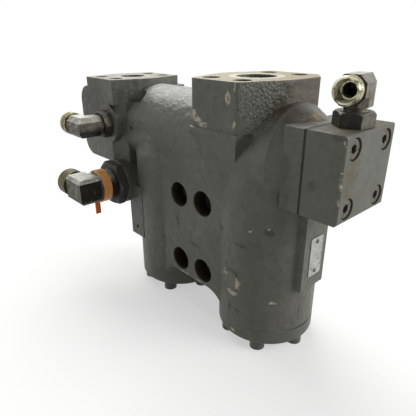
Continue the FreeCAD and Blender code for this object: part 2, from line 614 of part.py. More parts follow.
def thread_tools():
    """Threaded holes of the flanges, covers, pilot block and end cap, and the small holes."""
    tools = []
    for index, (sx, sy) in enumerate(QUARTER_SIGNS):
        place = (f"flangeOffset+{sx}*boltSpanNarrow/2", f"{AXIS_Y}+{sy}*boltSpanLong/2")
        drill(tools, f"flange_thread_{index}", "Z", "flangeTapRadius", "flangeTop-flangeTapDepth",
              "flangeTop", place)
        place = (f"-secondOffset+{sx}*secondSpanNarrow/2", f"{AXIS_Y}-secondSetback+{sy}*secondSpanLong/2")
        drill(tools, f"second_thread_{index}", "Z", "secondTapRadius", "secondTop-secondTapDepth",
              "secondTop", place)
    hole = "screwRadius+threadClearance"
    for side, centre in (("right", RIGHT_X), ("left", LEFT_X)):
        for angle in COVER_ANGLES:
            place = (f"{centre}+{COVER_CIRCLE}*cos({angle})", f"{AXIS_Y}+{COVER_CIRCLE}*sin({angle})")
            drill(tools, f"{side}_cover_thread_{angle}", "Z", hole, FOOT_Z, f"{FOOT_Z}+screwEngagement+1",
                  place)
    for index, (sy, sz) in enumerate(QUARTER_SIGNS):
        place = (f"{AXIS_Y}+{sy}*pilotScrewSpan/2", f"spoolHeight+{sz}*pilotScrewSpan/2")
        drill(tools, f"pilot_thread_{index}", "X", hole, "pilotFace-screwEngagement-1", "pilotFace", place)
        place = (f"{AXIS_Y}+{sy}*capScrewSpan/2", f"spoolHeight+{sz}*capScrewSpan/2")
        drill(tools, f"cap_thread_{index}", "X", hole, "-headLeft", "-headLeft+screwEngagement+1", place)
    for index in range(2):
        place = (PLATE_Y, f"plateMiddle+{2 * index - 1}*rivetSpan/2")
        drill(tools, f"rivet_hole_{index}", "X", "rivetRadius+threadClearance", f"{PLATE_FACE}-5",
              PLATE_FACE, place)
    drill(tools, "lug_hole", "Y", "2", f"{AXIS_Y}-barrelRadius", f"{AXIS_Y}-barrelRadius+10",
          (f"{LEFT_X}-9-lugWidth/2", "-20"))
    drill(tools, "gauge_hole", "Y", "1.75", f"{AXIS_Y}-spoolBarrelRadius", f"{AXIS_Y}-spoolBarrelRadius+6",
          ("-gaugeHoleOffset", "spoolHeight+1.7"))
    return tools


def seal_groove():
    """The ring groove round the cylinder port in the mounting face."""
    centre = ("0", "-portGrooveDepth", "0")
    outer = part_piece("Cylinder", "groove_outside", centre, TURN_TO["Y"], Radius="portGrooveRadius",
                       Height="portGrooveDepth")
    inner = part_piece("Cylinder", "groove_inside", centre, TURN_TO["Y"],
                       Radius="portGrooveRadius-portGrooveWidth", Height="portGrooveDepth")
    return joined("Cut", "groove_ring", outer, inner)


def build_housing():
    """The casting, with its bores, its threads and its screw holes cut one kind after the other."""
    casting = new_body("casting")
    housing_castings(casting)
    housing_flanges(casting)
    housing_bosses(casting)
    bores = doc.addObject("Part::MultiFuse", "bores")
    bores.Shapes = bore_tools()
    threads = group("threads", thread_tools() + [seal_groove()])
    bolt_holes = doc.addObject("Part::MultiFuse", "bolt_holes")
    bolt_holes.Shapes = bolt_tools()
    bored = joined("Cut", "bored_casting", casting, bores)
    threaded = joined("Cut", "threaded_casting", bored, threads)
    housing = joined("Cut", "valve_housing", threaded, bolt_holes)
    housing.Label = "valve_housing"
    return housing


# Pilot block with its piston

def build_pilot_block():
    body = new_body("pilot_block")
    half = "pilotBlockWidth/2"
    block(body, "pilot_block_solid", ("pilotFace", f"{AXIS_Y}-{half}", "spoolHeight-pilotBlockHeight/2"),
          (BLOCK_OUTER, f"{AXIS_Y}+{half}", BLOCK_TOP))
    soften(body, "pilot_block_edges", lambda edge: edge.BoundBox.XMin > number(BLOCK_OUTER) - 0.01,
           "pilotBlockEdge", kind="Chamfer")
    round_bar(body, "piston_bore", "X", "pilotPistonRadius", "pilotFace", "pilotFace+pilotBoreDepth",
              (AXIS_Y, "spoolHeight"), cut=True)
    middle = "pilotFace+pilotBlockLength/2"
    round_bar(body, "pilot_port_thread", "Z", "pilotStud+threadClearance", f"{BLOCK_TOP}-pilotStudDepth-1",
              BLOCK_TOP, (middle, AXIS_Y), cut=True)
    round_bar(body, "pilot_port_spotface", "Z", f"pilotStud+threadClearance+{SEAL_SPACE}",
              f"{BLOCK_TOP}-({SEAL_SPACE})", BLOCK_TOP, (middle, AXIS_Y), cut=True)
    round_bar(body, "pilot_drilling", "Z", "pilotDrillingRadius", "spoolHeight",
              f"{BLOCK_TOP}-pilotStudDepth", ("pilotFace+pilotBoreDepth-pilotDrillingRadius", AXIS_Y),
              cut=True)
    for index, (sy, sz) in enumerate(QUARTER_SIGNS):
        place = (f"{AXIS_Y}+{sy}*pilotScrewSpan/2", f"spoolHeight+{sz}*pilotScrewSpan/2")
        round_bar(body, f"screw_hole_{index}", "X", "screwRadius+screwPlay", "pilotFace", BLOCK_OUTER, place,
                  cut=True)
        round_bar(body, f"screw_counterbore_{index}", "X", "screwCounterboreRadius",
                  f"{BLOCK_OUTER}-pilotScrewSink", BLOCK_OUTER, place, cut=True)
    return body


def build_pilot_screws():
    screws = []
    for index, (sy, sz) in enumerate(QUARTER_SIGNS):
        place = (f"{AXIS_Y}+{sy}*pilotScrewSpan/2", f"spoolHeight+{sz}*pilotScrewSpan/2")
        screws.append(socket_screw(f"pilot_screw_{index}", "X", f"{BLOCK_OUTER}-pilotScrewSink",
                                   "pilotFace-screwEngagement", place, head_side=1))
    return group("pilot_block_screws", screws)


PISTON_TAIL = "pilotFace+pilotBoreDepth-4"
SPOOL_TIP = "pilotFace-0.3"


def build_pilot_piston():
    land = "pilotPistonRadius-runningClearance"
    groove = "pilotPistonRadius-2.4"
    shoulder = f"{PISTON_TAIL}-8"
    profile = [(SPOOL_TIP, "0"), (SPOOL_TIP, "5"), (f"{SPOOL_TIP}+1", "6"), (shoulder, "6"),
               (shoulder, land), (f"{shoulder}+2.6", land), (f"{shoulder}+2.6", groove),
               (f"{shoulder}+5.4", groove),
               (f"{shoulder}+5.4", land), (PISTON_TAIL, land), (PISTON_TAIL, "0")]
    return turned("pilot_piston", "X", (AXIS_Y, "spoolHeight"), profile)


def seal_ring(name, along, place, across, ring_radius, section_radius):
    """An O-ring round an axis."""
    ring = part_piece("Torus", name, along_axis(along, place, across), TURN_TO[along],
                      Radius1=ring_radius, Radius2=section_radius)
    ring.Label = name
    return ring


# Main spool with its spring and end cap

SPRING_SEAT_FACE = f"{CHAMBER_FLOOR}-0.2"
SPRING_SEAT_BACK = f"{CHAMBER_FLOOR}-3.2"


def build_main_spool():
    land = "spoolBoreRadius-runningClearance"
    neck = "spoolNeckRadius"
    check_side = f"{LEFT_X}+9.5"
    hose_left = "flangeOffset-portRadius-1.2"
    meter_left = "flangeOffset+7.3"
    meter_right = f"{RIGHT_X}-5.5"
    guide_left = f"{RIGHT_X}+12.5"
    tail = "spoolTailRadius"
    profile = [(f"{SPRING_SEAT_BACK}-13", "0"), (f"{SPRING_SEAT_BACK}-13", tail), (SPRING_SEAT_FACE, tail),
               (SPRING_SEAT_FACE, land), ("-secondOffset-12.7", land), ("-secondOffset-12.7", neck),
               (check_side, neck), (check_side, land), (f"{check_side}+16", land),
               (f"{check_side}+16", neck), (f"{hose_left}-14", neck), (f"{hose_left}-14", land),
               (hose_left, land), (hose_left, neck),
               (meter_left, neck), (meter_left, land), (meter_right, land), (meter_right, neck),
               (guide_left, neck), (guide_left, land), (SPOOL_TIP, land), (SPOOL_TIP, "0")]
    return turned("main_spool", "X", (AXIS_Y, "spoolHeight"), profile)


def build_spring_seat():
    inner = "spoolTailRadius+runningClearance"
    outer = "capBoreRadius-0.5"
    profile = [(SPRING_SEAT_BACK, inner), (SPRING_SEAT_BACK, outer), (SPRING_SEAT_FACE, outer),
               (SPRING_SEAT_FACE, inner)]
    return turned("spool_spring_seat", "X", (AXIS_Y, "spoolHeight"), profile)


def build_end_cap():
    body = new_body("spool_end_cap")
    half = "capFlangeSize/2"
    flange_face = "-headLeft-capFlangeThickness"
    block(body, "cap_flange", (flange_face, f"{AXIS_Y}-{half}", f"spoolHeight-{half}"),
          ("-headLeft", f"{AXIS_Y}+{half}", f"spoolHeight+{half}"))

    def corner_edge(edge):
        return abs(edge.BoundBox.XLength - number("capFlangeThickness")) < 0.01

    soften(body, "cap_flange_corners", corner_edge, "9")
    spool_axis = (AXIS_Y, "spoolHeight")
    round_bar(body, "cap_cup", "X", "capRadius-2", CAP_OUTER, f"{CAP_OUTER}+3", spool_axis,
              end_radius="capRadius")
    round_bar(body, "cap_cup_wall", "X", "capRadius", f"{CAP_OUTER}+3", "-headLeft-1", spool_axis)
    round_bar(body, "cap_chamber", "X", "capBoreRadius", f"{CAP_OUTER}+4", "-headLeft", spool_axis, cut=True)
    for index, (sy, sz) in enumerate(QUARTER_SIGNS):
        place = (f"{AXIS_Y}+{sy}*capScrewSpan/2", f"spoolHeight+{sz}*capScrewSpan/2")
        round_bar(body, f"cap_hole_{index}", "X", "screwRadius+screwPlay", flange_face, "-headLeft", place,
                  cut=True)
    return body


def build_cap_screws():
    screws = []
    for index, (sy, sz) in enumerate(QUARTER_SIGNS):
        place = (f"{AXIS_Y}+{sy}*capScrewSpan/2", f"spoolHeight+{sz}*capScrewSpan/2")
        screws.append(socket_screw(f"cap_screw_{index}", "X", "-headLeft-capFlangeThickness",
                                   "-headLeft+screwEngagement", place, head_side=-1))
    return group("spool_cap_screws", screws)


# Bottom covers, poppets and seats

COVER_BOTTOM = "-footDepth-coverThickness"
SEAL_LOW = "-footDepth+3"
SEAL_HIGH = "-footDepth+6"


def build_cover(name, centre):
    body = new_body(name)
    place = (centre, AXIS_Y)
    spigot = "coverSpigotRadius-0.1"
    round_bar(body, name + "_disc", "Z", "barrelRadius", COVER_BOTTOM, FOOT_Z, place)
    soften(body, name + "_edge", lambda edge: edge.BoundBox.ZMax < number(COVER_BOTTOM) + 0.01,
           "coverEdge")
    round_bar(body, name + "_spigot", "Z", spigot, f"{COVER_BOTTOM}+1", SEAL_LOW, place)
    round_bar(body, name + "_groove", "Z", f"{spigot}-2.4", f"{COVER_BOTTOM}+1", SEAL_HIGH, place)
    round_bar(body, name + "_spigot_top", "Z", spigot, SEAL_HIGH, f"{SPIGOT_TOP}-0.2", place)
    for angle in COVER_ANGLES:
        hole = (f"{centre}+{COVER_CIRCLE}*cos({angle})", f"{AXIS_Y}+{COVER_CIRCLE}*sin({angle})")
        round_bar(body, f"{name}_hole_{angle}", "Z", "screwRadius+screwPlay", COVER_BOTTOM, FOOT_Z, hole,
                  cut=True)
    return body


def build_cover_screws(name, centre):
    screws = []
    for angle in COVER_ANGLES:
        place = (f"{centre}+{COVER_CIRCLE}*cos({angle})", f"{AXIS_Y}+{COVER_CIRCLE}*sin({angle})")
        screws.append(socket_screw(f"{name}_{angle}", "Z", COVER_BOTTOM, f"{FOOT_Z}+screwEngagement", place,
                                   head_side=-1))
    return group(name, screws)


def build_seat(name, centre, low, thickness, outer, inner):
    """A hardened seat ring with a short cone at its lower edge."""
    top = f"{low}+{thickness}"
    press = f"{outer}-0.02"
    profile = [(low, f"{inner}+{SEAT_SLOPE}"), (low, press), (top, press), (top, inner),
               (f"{low}+{SEAT_SLOPE}", inner)]
    return turned(name, "Z", (centre, AXIS_Y), profile)


POPPET_TAIL = f"{SPIGOT_TOP}+poppetStroke+1.2"
POPPET_POCKET = f"{POPPET_TAIL}+poppetPocketDepth"


def build_poppet():
    land = "poppetRadius-runningClearance"
    cone_base = f"seatBoreRadius+{SEAT_SLOPE}-seatClearance"
    land_top = "-portRadius+1"
    waist = "poppetRadius-poppetWaist"
    profile = [(POPPET_TAIL, "poppetPocketRadius"), (POPPET_TAIL, land), (land_top, land), (land_top, waist),
               ("seatHeight-3", waist), ("seatHeight", cone_base),
               ("seatHeight+poppetCone", f"{cone_base}-poppetCone"), ("seatHeight+poppetCone", "0"),
               (POPPET_POCKET, "0"), (POPPET_POCKET, "poppetPocketRadius")]
    return turned("load_holding_poppet", "Z", (RIGHT_X, AXIS_Y), profile)


CHECK_FLANGE_LOW = f"{SPIGOT_TOP}+checkFlangeLift"
CHECK_FLANGE_TOP = f"{CHECK_FLANGE_LOW}+checkFlange"


def build_check_poppet():
    land = "checkRadius-runningClearance"
    cone_base = f"checkSeatBoreRadius+{SEAT_SLOPE}-seatClearance"
    profile = [(CHECK_FLANGE_LOW, "0"), (CHECK_FLANGE_LOW, land), (CHECK_FLANGE_TOP, land),
               (CHECK_FLANGE_TOP, cone_base), ("checkSeatHeight", cone_base),
               ("checkSeatHeight+poppetCone", f"{cone_base}-poppetCone"), ("checkSeatHeight+poppetCone", "0")]
    return turned("lifting_check_poppet", "Z", (LEFT_X, AXIS_Y), profile)


# Tube fittings

def elbow_rise(prefix):
    """Height of an elbow's outlet axis above its boss."""
    return f"{prefix}Nut+{prefix}Neck+{prefix}Straight+{prefix}Arm"


def build_elbow(prefix, base, rotation):
    """A forged elbow. Its stud runs down its own Z axis, its outlet along its own X axis."""
    name = prefix + "_elbow"
    body = new_body(name)
    half = f"{prefix}Forging/2"
    nut = f"{prefix}Nut"
    leg_base = f"{nut}+{prefix}Neck"
    rise = elbow_rise(prefix)
    crown = f"{rise}+{prefix}Arm"
    inner = f"{leg_base}+{prefix}Straight"
    arm_end = f"{half}+{prefix}Shoulder"
    profile = [("-" + half, leg_base), (half, leg_base), (half, inner), (arm_end, inner), (arm_end, crown),
               ("-" + half, crown)]
    pad(body, name + "_forging", "XZ_Plane", "-" + half, f"{prefix}Forging", profile)

    def long_edge(edge):
        box = edge.BoundBox
        side = box.YLength < 0.01 and abs(abs(box.YMin) - number(half)) < 0.01
        foot = box.ZLength < 0.01 and abs(box.ZMin - number(leg_base)) < 0.01
        end = box.XLength < 0.01 and abs(box.XMin - number(arm_end)) < 0.01
        return side and not foot and not end

    soften(body, name + "_facets", long_edge, f"{prefix}Chamfer", kind="Chamfer")
    reach = f"{prefix}Reach"
    outlet = f"{prefix}Outlet"
    tube = f"{prefix}Tube"
    deep = f"-{prefix}StudDepth"
    thread_start = f"{reach}-{prefix}Thread"
    level = ("0", rise)
    centre = ("0", "0")
    round_bar(body, name + "_arm", "X", f"{prefix}Arm*0.94", half, thread_start, level)
    round_bar(body, name + "_outlet", "X", outlet, thread_start, f"{reach}-1", level)
    round_bar(body, name + "_outlet_chamfer", "X", outlet, f"{reach}-1", reach, level,
              end_radius=f"{outlet}-1")
    round_bar(body, name + "_neck", "Z", f"{prefix}NeckRadius", nut, f"{leg_base}+1", centre)
    round_bar(body, name + "_stud", "Z", f"{prefix}Stud", deep, nut, centre)
    round_bar(body, name + "_bore_up", "Z", tube, deep, rise, centre, cut=True)
    round_bar(body, name + "_bore_out", "X", tube, "0", reach, level, cut=True)
    round_bar(body, name + "_cone", "X", f"{tube}+0.8", f"{reach}-7", reach, level, cut=True,
              end_radius=f"{prefix}Cone")
    put(body, base, rotation)
    return body


def build_nut(prefix, base, rotation):
    """The hexagon nut that locks an elbow on its boss, with its outer corners turned off."""
    name = prefix + "_elbow_nut"
    corner = f"{prefix}Flats/sqrt(3)"
    thickness = f"{prefix}Nut"
    drop = f"0.9*({corner}-{prefix}Flats/2)"
    hexagon = part_piece("Prism", name + "_hexagon", Circumradius=corner, Height=thickness)
    envelope = part_piece("Cone", name + "_envelope", Radius1=f"{corner}+{thickness}-{drop}",
                          Radius2=f"{corner}-{drop}", Height=thickness)
    rounded = joined("Common", name + "_rounded", hexagon, envelope)
    hole = part_piece("Cylinder", name + "_hole", Radius=f"{prefix}Stud+threadClearance", Height=thickness)
    nut = joined("Cut", name, rounded, hole)
    nut.Label = name
    put(nut, base, rotation)
    return nut


def build_cable_tie(base, rotation):
    """A wide cable tie round the lower elbow's neck, with its lock and its cut tail."""
    body = new_body("cable_tie")
    start = "lowerNut+lowerNeck-tieWidth-threadClearance"
    end = f"{start}+tieWidth"
    inner = "lowerNeckRadius+threadClearance"
    outer = f"{inner}+tieThickness"
    round_bar(body, "tie_band", "Z", outer, start, end, ("0", "0"))
    block(body, "tie_lock", ("tieTurn-5", f"{inner}-5", start), ("tieTurn+5", f"{outer}+2", end))
    block(body, "tie_tail", ("tieTurn-tieThickness/2", f"{inner}-5", f"{start}+1.5"),
          ("tieTurn+tieThickness/2", f"{outer}+tieTail", f"{end}-1.5"))
    round_bar(body, "tie_loop", "Z", inner, start, end, ("0", "0"), cut=True)
    put(body, base, rotation)
    return body


def elbow_seal(prefix, base, rotation):
    """The ring that seals an elbow's stud in its boss, under the lock nut."""
    ring = part_piece("Torus", prefix + "_seal", base, rotation,
                      Radius1=f"{prefix}Stud+threadClearance+sealSection", Radius2="sealSection-0.02")
    return ring


def build_nameplate():
    body = new_body("nameplate")
    half = "plateWidth/2"
    block(body, "plate", (PLATE_FACE, f"{PLATE_Y}-{half}", "plateMiddle-plateHeight/2"),
          (f"{PLATE_FACE}+plateThickness", f"{PLATE_Y}+{half}", "plateMiddle+plateHeight/2"))

    def corner_edge(edge):
        return abs(edge.BoundBox.XLength - number("plateThickness")) < 0.01

    soften(body, "plate_corners", corner_edge, "2")
    for index in range(2):
        place = (PLATE_Y, f"plateMiddle+{2 * index - 1}*rivetSpan/2")
        round_bar(body, f"plate_hole_{index}", "X", "rivetRadius+threadClearance", PLATE_FACE,
                  f"{PLATE_FACE}+plateThickness", place, cut=True)
    return body


def build_rivets():
    """Two drive rivets: a shank in the housing and a low head on the plate."""
    rivets = []
    for index in range(2):
        place = (PLATE_Y, f"plateMiddle+{2 * index - 1}*rivetSpan/2")
        name = f"rivet_{index}"
        shank = part_piece("Cylinder", name + "_shank", along_axis("X", f"{PLATE_FACE}-4", place),
                           TURN_TO["X"], Radius="rivetRadius", Height="4.2+plateThickness")
        head = part_piece("Cone", name + "_head", along_axis("X", f"{PLATE_FACE}+plateThickness", place),
                          TURN_TO["X"], Radius1="rivetRadius*1.6", Radius2="rivetRadius*0.8", Height="1")
        rivets.append(joined("Fuse", name, shank, head))
    return group("nameplate_rivets", rivets)


# Assembly

SPOOL_AXIS = (AXIS_Y, "spoolHeight")
LEFT_FITTING = FreeCAD.Rotation(Vector(-1, 0, 0), Vector(0, 0, -1), Vector(0, -1, 0), "ZXY")
UPPER_BASE = ("-upperPortOffset", BOSS_FRONT, "upperPortHeight")
LOWER_BASE = ("-lowerPortOffset", BOSS_FRONT, "lowerPortHeight")
PILOT_BASE = ("pilotFace+pilotBlockLength/2", AXIS_Y, BLOCK_TOP)
PILOT_TURN = FreeCAD.Rotation(Vector(0, 0, 1), number("pilotElbowTurn") - 90)

parts = [
    build_housing(),
    build_pilot_block(),
    build_pilot_screws(),
    build_pilot_piston(),
    seal_ring("pilot_piston_seal", "X", f"{PISTON_TAIL}-4", SPOOL_AXIS, "pilotPistonRadius-1.22", "1.15"),
    build_main_spool(),
    build_spring_seat(),
    coil_spring("spool_spring", "X", SPOOL_AXIS, f"{CAP_OUTER}+4", SPRING_SEAT_BACK,
                "spoolSpringRadius", "spoolSpringWire", 5),
    build_end_cap(),
    build_cap_screws(),
    build_poppet(),
    build_seat("load_holding_seat", RIGHT_X, "seatHeight", "seatThickness", "poppetRadius",
               "seatBoreRadius"),
    coil_spring("poppet_spring", "Z", (RIGHT_X, AXIS_Y), f"{SPIGOT_TOP}-0.2", POPPET_POCKET,
                "poppetSpringRadius", "poppetSpringWire", 6),
    build_cover("right_bottom_cover", RIGHT_X),
    seal_ring("right_cover_seal", "Z", f"({SEAL_LOW}+({SEAL_HIGH}))/2", (RIGHT_X, AXIS_Y),
              "coverSpigotRadius-1.25", "1.18"),
    build_cover_screws("right_cover_screws", RIGHT_X),
    build_check_poppet(),
    build_seat("lifting_check_seat", LEFT_X, "checkSeatHeight", "checkSeatThickness", "checkRadius",
               "checkSeatBoreRadius"),
    coil_spring("check_spring", "Z", (LEFT_X, AXIS_Y), f"{SPIGOT_TOP}-0.2", CHECK_FLANGE_LOW,
                "checkSpringRadius", "checkSpringWire", 3.5),
    build_cover("left_bottom_cover", LEFT_X),
    seal_ring("left_cover_seal", "Z", f"({SEAL_LOW}+({SEAL_HIGH}))/2", (LEFT_X, AXIS_Y),
              "coverSpigotRadius-1.25", "1.18"),
    build_cover_screws("left_cover_screws", LEFT_X),
    seal_ring("cylinder_port_seal", "Y", "-portGrooveDepth/2", ("0", "0"),
              "portGrooveRadius-portGrooveWidth/2", "portGrooveDepth/2-0.02"),
    build_nut("pilot", PILOT_BASE, FreeCAD.Rotation(Vector(0, 0, 1), 20)),
    build_elbow("pilot", PILOT_BASE, PILOT_TURN),
    build_nut("upper", UPPER_BASE, LEFT_FITTING),
    build_elbow("upper", UPPER_BASE, LEFT_FITTING),
    build_nut("lower", LOWER_BASE, LEFT_FITTING),
    build_elbow("lower", LOWER_BASE, LEFT_FITTING),
    group("elbow_seals", [
        elbow_seal("pilot", PILOT_BASE[:2] + (f"{BLOCK_TOP}-sealSection-0.05",), TURN_TO["Z"]),
        elbow_seal("upper", (UPPER_BASE[0], f"{BOSS_FRONT}+sealSection+0.05", UPPER_BASE[2]), TURN_TO["Y"]),
        elbow_seal("lower", (LOWER_BASE[0], f"{BOSS_FRONT}+sealSection+0.05", LOWER_BASE[2]), TURN_TO["Y"]),
    ]),
    build_cable_tie(LOWER_BASE, LEFT_FITTING),
    build_nameplate(),
    build_rivets(),
]

# Check and write

doc.recompute()
faults = [item.Name for item in doc.Objects if "Invalid" in item.State or "Error" in item.State]
faults += [part.Label for part in parts if part.Shape.isNull() or not part.Shape.isValid()]
if faults:
    raise RuntimeError("these objects failed: " + ", ".join(faults))
for part in parts:
    part.Shape.exportStep("parts/" + part.Label + ".step")
    print(part.Label, len(part.Shape.Solids), round(part.Shape.Volume))
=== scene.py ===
# %% [markdown]
# # Dressing a hose rupture valve
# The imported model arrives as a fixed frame: every cast, turned and forged piece already stands in its
# place with its real size. This lesson gives each piece the finish of the real one, adds no new piece,
# and lights the whole like a product photograph. Blender's lengths are metres, and the sizes of
# patterns and marks are written in millimetres.

# %% Load the frame
import math

import bpy
from mathutils import Matrix, Vector


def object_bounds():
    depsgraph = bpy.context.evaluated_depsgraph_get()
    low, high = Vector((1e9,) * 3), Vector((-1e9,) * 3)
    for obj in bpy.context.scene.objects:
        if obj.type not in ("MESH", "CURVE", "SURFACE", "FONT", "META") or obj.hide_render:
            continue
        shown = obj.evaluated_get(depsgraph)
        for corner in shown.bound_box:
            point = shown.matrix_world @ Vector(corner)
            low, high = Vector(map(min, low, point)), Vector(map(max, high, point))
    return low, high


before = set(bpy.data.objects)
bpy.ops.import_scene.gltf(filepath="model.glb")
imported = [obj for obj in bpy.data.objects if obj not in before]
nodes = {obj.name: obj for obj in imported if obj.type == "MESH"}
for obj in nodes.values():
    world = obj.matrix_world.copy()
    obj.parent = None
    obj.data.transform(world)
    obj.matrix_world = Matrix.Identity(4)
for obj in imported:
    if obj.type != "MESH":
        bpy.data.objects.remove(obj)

cad_low, cad_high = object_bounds()
print("frame:", len(nodes), "nodes, size", [round(high - low, 4) for low, high in zip(cad_low, cad_high)])

# %% [markdown]
# ## Colours
# A paint card gives a colour as sRGB, which is spaced for the eye, while a shader reckons with amounts
# of light. The linear numbers could be typed by hand, or picked in Blender's colour wheel. One function
# that turns a hex value into them is exact, and it keeps the card's value in the script, where it can
# be read.

# %% Colours from hex
MM = 0.001


def paint(hex_colour):
    """A linear RGBA colour from an sRGB hex string."""
    channels = [int(hex_colour[index:index + 2], 16) / 255 for index in (1, 3, 5)]
    linear = [c / 12.92 if c <= 0.04045 else ((c + 0.055) / 1.055) ** 2.4 for c in channels]
    return (*linear, 1.0)


print("half grey is", round(paint("#808080")[0], 3), "of full light")

# %% [markdown]
# ## Shader nodes
# A finish is a tree of nodes. The tree could be wired by hand in the shader editor, but then nobody can
# read it in a script. One function adds a node with its settings, and sets each socket to a value or
# links it to another node's output. A finish keeps its colour, roughness and height so far, so that
# coats and dents can be laid over each other in the order in which they happened to the real piece.

# %% Nodes and finishes
def add(tree, kind, sockets=None, **settings):
    """One shader node, with settings by name and sockets set to a value or linked to an output."""
    node = tree.nodes.new("ShaderNode" + kind)
    for name, value in settings.items():
        setattr(node, name, value)
    for name, value in (sockets or {}).items():
        if isinstance(value, bpy.types.NodeSocket):
            tree.links.new(value, node.inputs[name])
        else:
            node.inputs[name].default_value = value
    return node


class Finish:
    """A material that starts as one colour and gets coats and relief before it is done."""

    def __init__(self, name, colour, roughness, metallic=0.0, specular=0.5):
        self.material = bpy.data.materials.new(name)
        self.material.use_nodes = True
        self.tree = self.material.node_tree
        self.shader = self.tree.nodes["Principled BSDF"]
        self.shader.inputs["Metallic"].default_value = metallic
        self.shader.inputs["Specular IOR Level"].default_value = specular
        place = add(self.tree, "TexCoord")
        self.at = place.outputs["Object"]
        self.normal = place.outputs["Normal"]
        self.colour = paint(colour)
        self.rough = roughness
        self.height = None


# %% [markdown]
# ## Masks
# Wear, dirt and dents are only in some places, and a mask says where: it is 1 there and 0 elsewhere.
# Masks could be painted by hand as images. Noise and distances need no image file, keep their real size
# on every piece, and stay sharp however near the camera comes. The first mask is lumps of noise with a
# real size.

# %% Lumps of noise
def mottle(finish, size_mm, low=0.35, high=0.65, detail=3.0, roughness=0.5, stretch=(1, 1, 1)):
    """Lumps of a real size; a stretch below 1 draws them out along that axis."""
    tree = finish.tree
    scaled = add(tree, "VectorMath", {0: finish.at, 1: stretch}, operation="MULTIPLY").outputs[0]
    noise = add(tree, "TexNoise", {"Vector": scaled, "Scale": 1 / (size_mm * MM), "Detail": detail,
                                   "Roughness": roughness}).outputs["Fac"]
    return add(tree, "MapRange", {"Value": noise, "From Min": low, "From Max": high}).outputs[0]


# %% [markdown]
# Dust lies on what looks up, and grease on what looks down or forward. A direction could be marked face
# by face, but the angle between a face's normal and the direction gives it on every piece at once.

# %% Faces that look one way
def facing(finish, direction, start, full):
    """The faces that look in a direction, by the cosine of the angle between."""
    along = add(finish.tree, "VectorMath", {0: finish.normal, 1: direction}, operation="DOT_PRODUCT")
    return add(finish.tree, "MapRange", {"Value": along.outputs["Value"], "From Min": start,
                                         "From Max": full}).outputs[0]


# %% [markdown]
# A chip or a stain is at a place that can be measured. The distance from its centre, divided by its
# half sizes, makes a soft-rimmed spot. A real chip has a torn rim, so the coordinates may first be
# pushed about by noise. A level along one axis is enough for machined faces and for a line of grease.

# %% Spots, torn rims and levels
LUMPS_PER_TEAR = 1.6
NOISE_TO_TEAR = 3


def wander(finish, ragged_mm):
    """Not a mask: the object's coordinates, pushed about so that the rim of a spot turns ragged."""
    tree = finish.tree
    noise = add(tree, "TexNoise", {"Vector": finish.at, "Scale": 1 / (ragged_mm * LUMPS_PER_TEAR * MM),
                                   "Detail": 3.0})
    push = add(tree, "VectorMath", {0: noise.outputs["Color"], 1: (0.5, 0.5, 0.5)}, operation="SUBTRACT")
    push = add(tree, "VectorMath", {0: push.outputs[0], "Scale": NOISE_TO_TEAR * ragged_mm * MM},
               operation="SCALE")
    return add(tree, "VectorMath", {0: finish.at, 1: push.outputs[0]}, operation="ADD").outputs[0]


def spot(finish, centre_mm, size_mm, coordinates=None, soft=0.35):
    """A mark with its centre and its half sizes, fading out over the soft part of its rim."""
    tree = finish.tree
    centre = tuple(value * MM for value in centre_mm)
    half = tuple(value * MM for value in size_mm)
    away = add(tree, "VectorMath", {0: coordinates or finish.at, 1: centre}, operation="SUBTRACT")
    away = add(tree, "VectorMath", {0: away.outputs[0], 1: half}, operation="DIVIDE")
    away = add(tree, "VectorMath", {0: away.outputs[0]}, operation="LENGTH").outputs["Value"]
    return add(tree, "MapRange", {"Value": away, "From Min": 1.0, "From Max": 1.0 - soft}).outputs[0]


def past(finish, axis, start_mm, full_mm):
    """All that lies past a level on one axis, from 0 at the start to 1 at the full level."""
    value = add(finish.tree, "SeparateXYZ", {0: finish.at}).outputs[axis]
    return add(finish.tree, "MapRange", {"Value": value, "From Min": start_mm * MM,
                                         "From Max": full_mm * MM}).outputs[0]


# %% [markdown]
# Hands, spanners and other parts rub the sharp edges first. Edges could be found in the mesh and
# painted, but the Bevel node already knows them: there its rounded normal leaves the true one.

# %% Worn edges
BEVEL_SAMPLES = 6


def worn_edges(finish, radius_mm, start=0.02, full=0.2):
    """The sharp edges, where a rounded normal leaves the true one."""
    tree = finish.tree
    rounded = add(tree, "Bevel", {"Radius": radius_mm * MM}, samples=BEVEL_SAMPLES).outputs[0]
    true_normal = add(tree, "NewGeometry").outputs["Normal"]
    together = add(tree, "VectorMath", {0: rounded, 1: true_normal}, operation="DOT_PRODUCT")
    return add(tree, "MapRange", {"Value": together.outputs["Value"], "From Min": 1 - start,
                                  "From Max": 1 - full}).outputs[0]


# %% [markdown]
# ## Coats and relief
# A coat lays a second colour over what is there, where all of its masks meet. A number among the masks
# makes the coat thinner. Relief works the same way with a height. Each finish could be one big hand-
# made tree, but coats in order read like the story of the piece. `done` links it all to the shader,
# over edges that are rounded by a real radius, because no cast or turned edge is as sharp as the
# model's.

# %% Coats and relief
def coat(finish, masks, colour, roughness=None):
    """A colour over the first where the masks meet, with its own roughness if it has one."""
    tree = finish.tree
    cover_by = masks[0]
    for mask in masks[1:]:
        cover_by = add(tree, "Math", {0: cover_by, 1: mask}, operation="MULTIPLY").outputs[0]
    finish.colour = add(tree, "Mix", {0: cover_by, 6: finish.colour, 7: paint(colour)},
                        data_type="RGBA").outputs[2]
    if roughness is not None:
        finish.rough = add(tree, "Mix", {0: cover_by, 2: finish.rough, 3: roughness}).outputs[0]


def relief(finish, masks, height_mm):
    """The surface stands higher by a real height where the masks meet."""
    tree = finish.tree
    height = height_mm * MM
    for mask in masks:
        height = add(tree, "Math", {0: height, 1: mask}, operation="MULTIPLY").outputs[0]
    if finish.height is not None:
        height = add(tree, "Math", {0: finish.height, 1: height}, operation="ADD").outputs[0]
    finish.height = height


